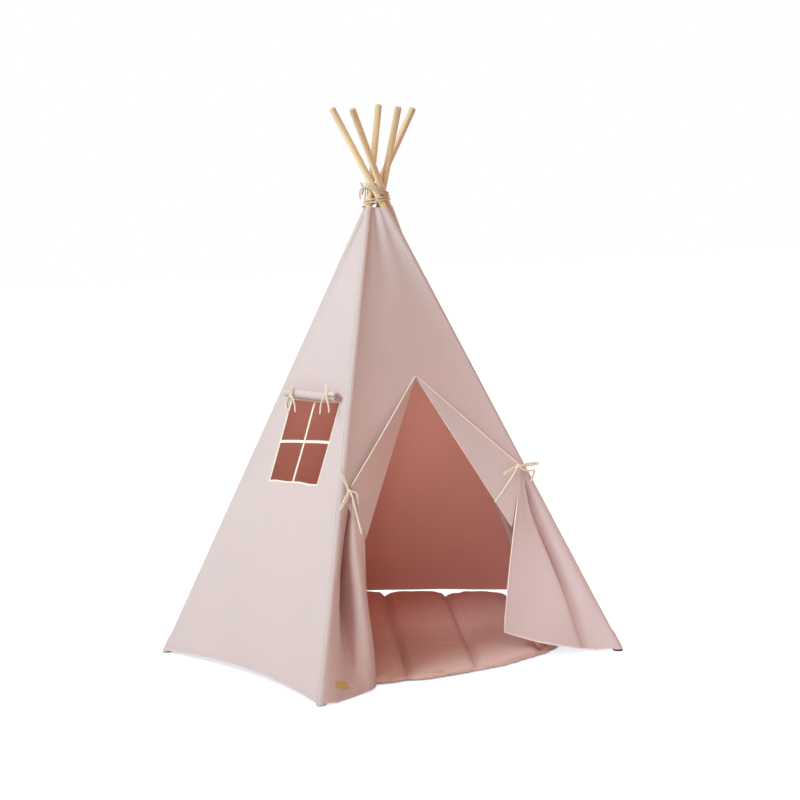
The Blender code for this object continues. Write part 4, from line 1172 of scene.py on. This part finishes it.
def sewWalls():
    lift = clothThick / 2 + stitches["off"]
    for wall in range(5):
        for number, sign, pole, body in halves(wall):
            lines = []
            if wall:
                shares = [sign * k / 60 for k in range(60)]
                lines.append([wallPoint(wall, hemHeight(wall, s) + stitches["fromHem"], s, lift * 1.4)
                              for s in shares])
            low = tieZ if wall == 0 else hemHeight(wall, sign) + 0.02
            line = []
            for k in range(91):
                z = low + (canvasTop - 0.01 - low) * k / 90
                inner = max(0.2, 1 - (sleeveRadius(z) + stitches["fromPole"]) / (span(wall, z) / 2))
                line.append(wallPoint(wall, z, sign * inner, lift))
            lines.append(line)
            sew("%sWallStitches%d" % (wallNames[wall], number), lines, looks["thread"], body, (pole, wall))


def besideEdge(points, normals, gap, row=False):
    # line a little inside a cloth's last column or last row
    if row:
        points, normals = points.transpose(1, 0, 2), normals.transpose(1, 0, 2)
    line = []
    for near, way in zip(points, normals):
        left, spot = gap, near[-1]
        for k in range(len(near) - 2, 0, -1):
            step = norm(near[k] - spot)
            if step >= left:
                spot = spot + (near[k] - spot) * (left / step)
                break
            left -= step
            spot = near[k]
        line.append(spot + way[-1] * (clothThick / 2 + stitches["off"]))
    return line


for side in (-1, 1):
    makeFront(side)
    makeFacing(side)
leftPoints, leftBody, leftGather = makeFlap(-1, leftFlap)
makeFlap(1, rightFlap)
sewWalls()
print("front and flaps hung")

# leather patches, bare
cornerPatch = {"along": -0.4090, "up": 0.0425, "width": 0.043, "height": 0.017, "slope": 0.17, "off": 0.0022,
               "thick": 0.0012, "spacing": 0.0036}


def makeCornerPatch():
    # bare patch by the hem, on the slope of the left flap
    flat = leftPoints.reshape(-1, 3)
    middle, along, up, out = frames[0]
    spots = np.stack(((flat - middle) @ along, (flat - middle) @ up), axis=1)
    points = np.empty((7, 13, 3))
    for j in range(7):
        for i in range(13):
            a = cornerPatch["along"] + cornerPatch["width"] * (i / 12 - 0.5)
            h = cornerPatch["up"] + cornerPatch["height"] * (0.5 - j / 6)
            h -= cornerPatch["slope"] * (a - cornerPatch["along"])
            gap = ((spots - (a, h)) ** 2).sum(axis=1)
            near = np.argsort(gap)[:4]
            share = 1 / (gap[near] + 1e-8)
            lift = float((((flat[near] - middle) @ out) * share / share.sum()).sum())
            points[j, i] = middle + along * a + up * h + out * (lift + cornerPatch["off"])
    piece = clothPiece("cornerPatch", points, normalsOf(points, out), [looks["leather"]], cornerPatch["thick"])
    hang(piece, leftBody, ["corner_patch"], leftGather)
    inner = points + out * 0.0007
    ring = list(inner[1, 1:12]) + list(inner[2:6, 11]) + list(inner[5, 1:11][::-1]) + list(inner[1:5, 1][::-1])
    sew("cornerPatchStitches", [ring], looks["patchThread"], leftBody, leftGather, cornerPatch["spacing"])


makeCornerPatch()

# floor mat, stuffed and quilted in channels
mat = {"loft": 1.08, "rearLoft": 0.38, "spread": 1.012, "rearSpread": 0.012, "pitch": 0.200, "angle": 22.6,
       "voxel": 0.0085, "sewnWidth": 0.0065, "under": 0.0035, "top": 0.014, "shift": 0.0022, "moments": 20,
       "channelWidth": 0.0036, "channelDepth": 0.0055, "wave": 0.006, "spacing": 0.006, "fill": 0.55}
stuffing = {"quality": 4, "mass": 0.15, "tension_stiffness": 25, "compression_stiffness": 25,
            "bending_stiffness": 0.3, "use_pressure": True, "uniform_pressure_force": 1.3,
            "vertex_group_mass": "sewn", "shrink_min": -0.03}
channelTurn = math.radians(90 - mat["angle"])
channelAcross = np.array((math.sin(channelTurn), -math.cos(channelTurn), 0.0))


def seamGap(spots, pitch):
    # distance to the nearest quilting channel
    offset = spots @ channelAcross / pitch
    return np.abs(offset - np.round(offset)) * pitch


def channelLines(mesh):
    # narrow stitched channels pressed into the mattress top, and a slightly wavy edge
    spots = spotsOf(mesh)
    seam = seamGap(spots, mat["pitch"] * mat["spread"])
    spots[:, 2] -= np.exp(-(seam / mat["channelWidth"]) ** 2) * mat["channelDepth"] * (spots[:, 2] > mat["top"])
    turn = np.arctan2(spots[:, 1], spots[:, 0])
    wave = np.sin(turn * 23) * 0.5 + np.sin(turn * 37 + 1.3) * 0.3 + np.sin(turn * 61 + 0.4) * 0.2
    size = np.hypot(spots[:, 0], spots[:, 1])
    spots[:, :2] *= 1 + mat["wave"] * (wave * np.clip((size - 0.35) / 0.1, 0, 1))[:, None]
    setSpots(mesh, spots)


def stuffed(piece, spots):
    # the mattress blown up by its filling, held at its seams and underside
    group = piece.vertex_groups.new(name="sewn")
    held = (seamGap(spots, mat["pitch"]) < mat["sewnWidth"]) | (spots[:, 2] < mat["under"])
    for index in np.nonzero(held)[0]:
        group.add([int(index)], 1.0, "REPLACE")
    cloth = piece.modifiers.new("stuffing", "CLOTH")
    for key, value in stuffing.items():
        setattr(cloth.settings, key, value)
    cloth.settings.effector_weights.gravity = 0.0
    cloth.point_cache.frame_start = 1
    cloth.point_cache.frame_end = mat["moments"]
    for moment in range(1, mat["moments"] + 1):
        scene.frame_set(moment)
    shift = spotsOf(evaluated(piece)) - spots
    size = np.linalg.norm(shift, axis=1, keepdims=True)
    scene.frame_set(1)
    piece.modifiers.clear()
    piece.vertex_groups.clear()
    return spots + shift * np.minimum(1, mat["shift"] / np.maximum(size, 1e-9))


def makeMat():
    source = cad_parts["floor_mat"]
    bpy.context.view_layer.update()
    mesh = source.data.copy()
    mesh.transform(source.matrix_world)
    mesh.name = "floorMattress"
    mesh.materials.clear()
    piece = link("floorMattress", mesh, [looks["mat"], looks["dark"]])
    with bpy.context.temp_override(active_object=piece, object=piece, selected_objects=[piece]):
        remesh = piece.modifiers.new("even", "REMESH")
        remesh.mode = "VOXEL"
        remesh.voxel_size = mat["voxel"]
    even = baked(piece)
    spots = spotsOf(even)
    spots = stuffed(piece, spots)
    rear = ease(np.clip(spots[:, 1] / 0.45, 0, 1))
    spots[:, 2] *= (mat["loft"] + mat["rearLoft"] * rear)
    spots[:, :2] *= mat["spread"] + mat["rearSpread"] * rear[:, None]
    setSpots(even, spots)
    finer = piece.modifiers.new("finer", "SUBSURF")
    finer.levels = finer.render_levels = 1
    final = baked(piece)
    channelLines(final)
    final.materials.clear()
    final.materials.append(looks["mat"])
    final.materials.append(looks["dark"])
    spots = spotsOf(final)
    layer = final.uv_layers.new(name="cloth")
    layer.data.foreach_set("uv", spots[cornersOf(final)][:, :2].ravel())
    kinds = [int(spots[list(face.vertices), 2].mean() < mat["under"]) for face in final.polygons]
    final.polygons.foreach_set("material_index", kinds)
    shadeSmooth(final)
    final.update()
    hang(piece, "floor_mat_body", ["floor_mat"])
    sewMat(final)
    print("mattress", len(final.polygons), "faces")


def sewMat(mesh):
    # stitches down each quilting channel, on the mattress's own top
    tree = BVHTree.FromPolygons([vertex.co[:] for vertex in mesh.vertices],
                                [face.vertices[:] for face in mesh.polygons])
    lengthways = np.array((-channelAcross[1], channelAcross[0], 0.0))
    lines = []
    for number in range(-4, 5):
        line = []
        for k in range(-170, 171):
            spot = channelAcross * (mat["pitch"] * mat["spread"] * number) + lengthways * (k * 0.005)
            found = tree.ray_cast(Vector((spot[0], spot[1], 0.2)), Vector((0, 0, -1)))[0]
            if found is not None and found[2] > mat["top"]:
                line.append(np.array(found) + (0, 0, 0.0002))
        if len(line) > 6:
            lines.append(line)
    sew("mattressStitches", lines, looks["thread"], "floor_mat_body", None, mat["spacing"])


makeMat()

matPatch = {"x": -0.110, "width": 0.060, "low": 0.0125, "height": 0.009, "reach": 0.4835, "thick": 0.001}


def makeMatPatch():
    points = np.empty((5, 13, 3))
    for j in range(5):
        for i in range(13):
            a = matPatch["x"] + matPatch["width"] * (i / 12 - 0.5)
            reach = math.sqrt(matPatch["reach"] ** 2 - a ** 2)
            points[j, i] = (a, -reach + 0.002 * (j / 4) ** 2, matPatch["low"] + matPatch["height"] * j / 4)
    piece = clothPiece("matPatch", points, normalsOf(points, (0, -1, 0)), [looks["leather"]], matPatch["thick"])
    hang(piece, "floor_mat_body", ["mat_patch"])


makeMatPatch()

# lashing round the crossing: each winding's turns, pitch, slope, height and distance out
lashingRadius = 0.0021
windings = ((3, 0.0055, 0.42, -0.002, 0.0), (2, 0.0080, -0.20, -0.033, 0.0010))


def lashingTurns(count, pitch, slope, middle, out):
    path = []
    for step in range(count * 48 + 1):
        share = step / (count * 48)
        turn = math.pi - viewTurn + 2 * math.pi * count * share
        bearing = np.array((math.cos(turn), math.sin(turn), 0.0))
        z = middle + pitch * count * (0.5 - share)
        tilt = 0.0
        for _ in range(4):
            spread = math.hypot(twistRadius, (z + tilt) * math.tan(lean))
            radius = spread + poleRadius * (1 + 1 / math.cos(lean)) / 2 + lashingRadius + out
            tilt = -slope * radius * float(bearing @ viewRight)
        path.append(crossingPoint + bearing * radius + np.array((0.0, 0.0, z + tilt)))
    return path


# the wraps take the lashing's darker cord, painted shade
wraps = [tubePiece("wraps", lashingTurns(*winding), lashingRadius, looks["lashing"]) for winding in windings]
hang(joined("lashingCord", wraps), "lashing_body", ["lashing_cord"])

# poles and feet keep the solids' shape
poleTones = {"front_left": 0.97, "front_right": 0.98, "right": 0.95, "back": 0.95, "left": 0.94}
for name, pole in zip(poleNames, poles):
    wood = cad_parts["pole_" + name]
    turn = Vector(pole.axis).rotation_difference(Vector((0, 0, 1)))
    tip = max((turn @ vertex.co)[2] for vertex in wood.data.vertices)
    look = pineLook("pine" + name.title().replace("_", ""), pole, tip, poleTones[name])
    for piece, made in ((wood, look), (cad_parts["foot_" + name], looks["rubber"])):
        piece.data.materials.clear()
        piece.data.materials.append(made)
        shadeSmooth(piece.data)
print("poles dressed")

# floor, backdrop and light; a lamp's values are spot, target, size, power, colour, spread and smoothing
studio = {"world": (1.0, 0.80, 0.67), "worldStrength": 0.70, "floor": 0.82, "floorReach": 40,
          "floorGlow": ((0.8, 0.93, 1, 1), 0.74)}
paleBlue = (0.74, 0.84, 1.0)
lamps = {
    "insideGlow": ((-0.14, -0.14, 0.62), (0.45, 0.34, 0.58), 0.3, 1.85, (1.0, 0.92, 0.85), 180, 0.2),
    "fill": ((-1.7, -3.1, 0.9), (0.55, -0.50, 0.28), 0.5, 1.4, paleBlue, 32, 0.0),
    "side": ((3.6, 0.6, 2.4), (0, 0, 0.6), 1.6, 22.0, paleBlue, 180, 0.0),
    "key": ((-3.3, -0.15, 3.3), (0, 0, 0.7), 2.0, 175.0, (0.53, 0.87, 1.0), 180, 0.0),
}


def makeFloor():
    data = bpy.data.meshes.new("floor")
    reach = studio["floorReach"]
    corners = [(-reach, -reach, 0), (reach, -reach, 0), (reach, reach, 0), (-reach, reach, 0)]
    data.from_pydata(corners, [], [(0, 1, 2, 3)])
    look, tree, shader = newLook("paleFloor")
    wire(tree, shader, {"Base Color": (studio["floor"],) * 3 + (1,), "Roughness": 1.0, "Specular IOR Level": 0.0})
    white = node(tree, "ShaderNodeEmission", dict(enumerate(studio["floorGlow"])))
    path = tree.nodes.new("ShaderNodeLightPath")
    added = node(tree, "ShaderNodeAddShader", {0: shader.outputs[0], 1: white.outputs[0]})
    both = node(tree, "ShaderNodeMixShader", {0: path.outputs["Is Camera Ray"], 1: shader.outputs[0],
                                              2: added.outputs[0]})
    wire(tree, tree.nodes["Material Output"], {0: both.outputs[0]})
    link("floor", data, [look])


def makeWorld():
    world = bpy.data.worlds.new("studioWhite")
    scene.world = world
    world.use_nodes = True
    tree = world.node_tree
    tree.nodes.clear()
    soft = node(tree, "ShaderNodeBackground", {0: (*studio["world"], 1), 1: studio["worldStrength"]})
    plain = node(tree, "ShaderNodeBackground", {0: (1, 1, 1, 1), 1: 1.0})
    path = tree.nodes.new("ShaderNodeLightPath")
    both = node(tree, "ShaderNodeMixShader", {0: path.outputs["Is Camera Ray"], 1: soft.outputs[0],
                                              2: plain.outputs[0]})
    node(tree, "ShaderNodeOutputWorld", {0: both.outputs[0]})


def areaLight(name, spot, target, size, power, colour, spread, near):
    data = bpy.data.lights.new(name, "AREA")
    data.shape = "DISK"
    data.size = size
    data.energy = power
    data.color = colour
    data.spread = math.radians(spread)
    data.use_nodes = True
    falloff = node(data.node_tree, "ShaderNodeLightFalloff", {"Strength": 1.0, "Smooth": near})
    wire(data.node_tree, data.node_tree.nodes["Emission"], {"Strength": falloff.outputs["Quadratic"]})
    lamp = bpy.data.objects.new(name, data)
    scene.collection.objects.link(lamp)
    lamp.location = spot
    lamp.rotation_euler = (Vector(target) - Vector(spot)).to_track_quat("-Z", "Y").to_euler()
    lamp.visible_camera = False


makeFloor()
makeWorld()
for name, values in lamps.items():
    areaLight(name, *values)
scene.view_settings.view_transform = "Standard"
scene.view_settings.look = "None"

print("scene built")
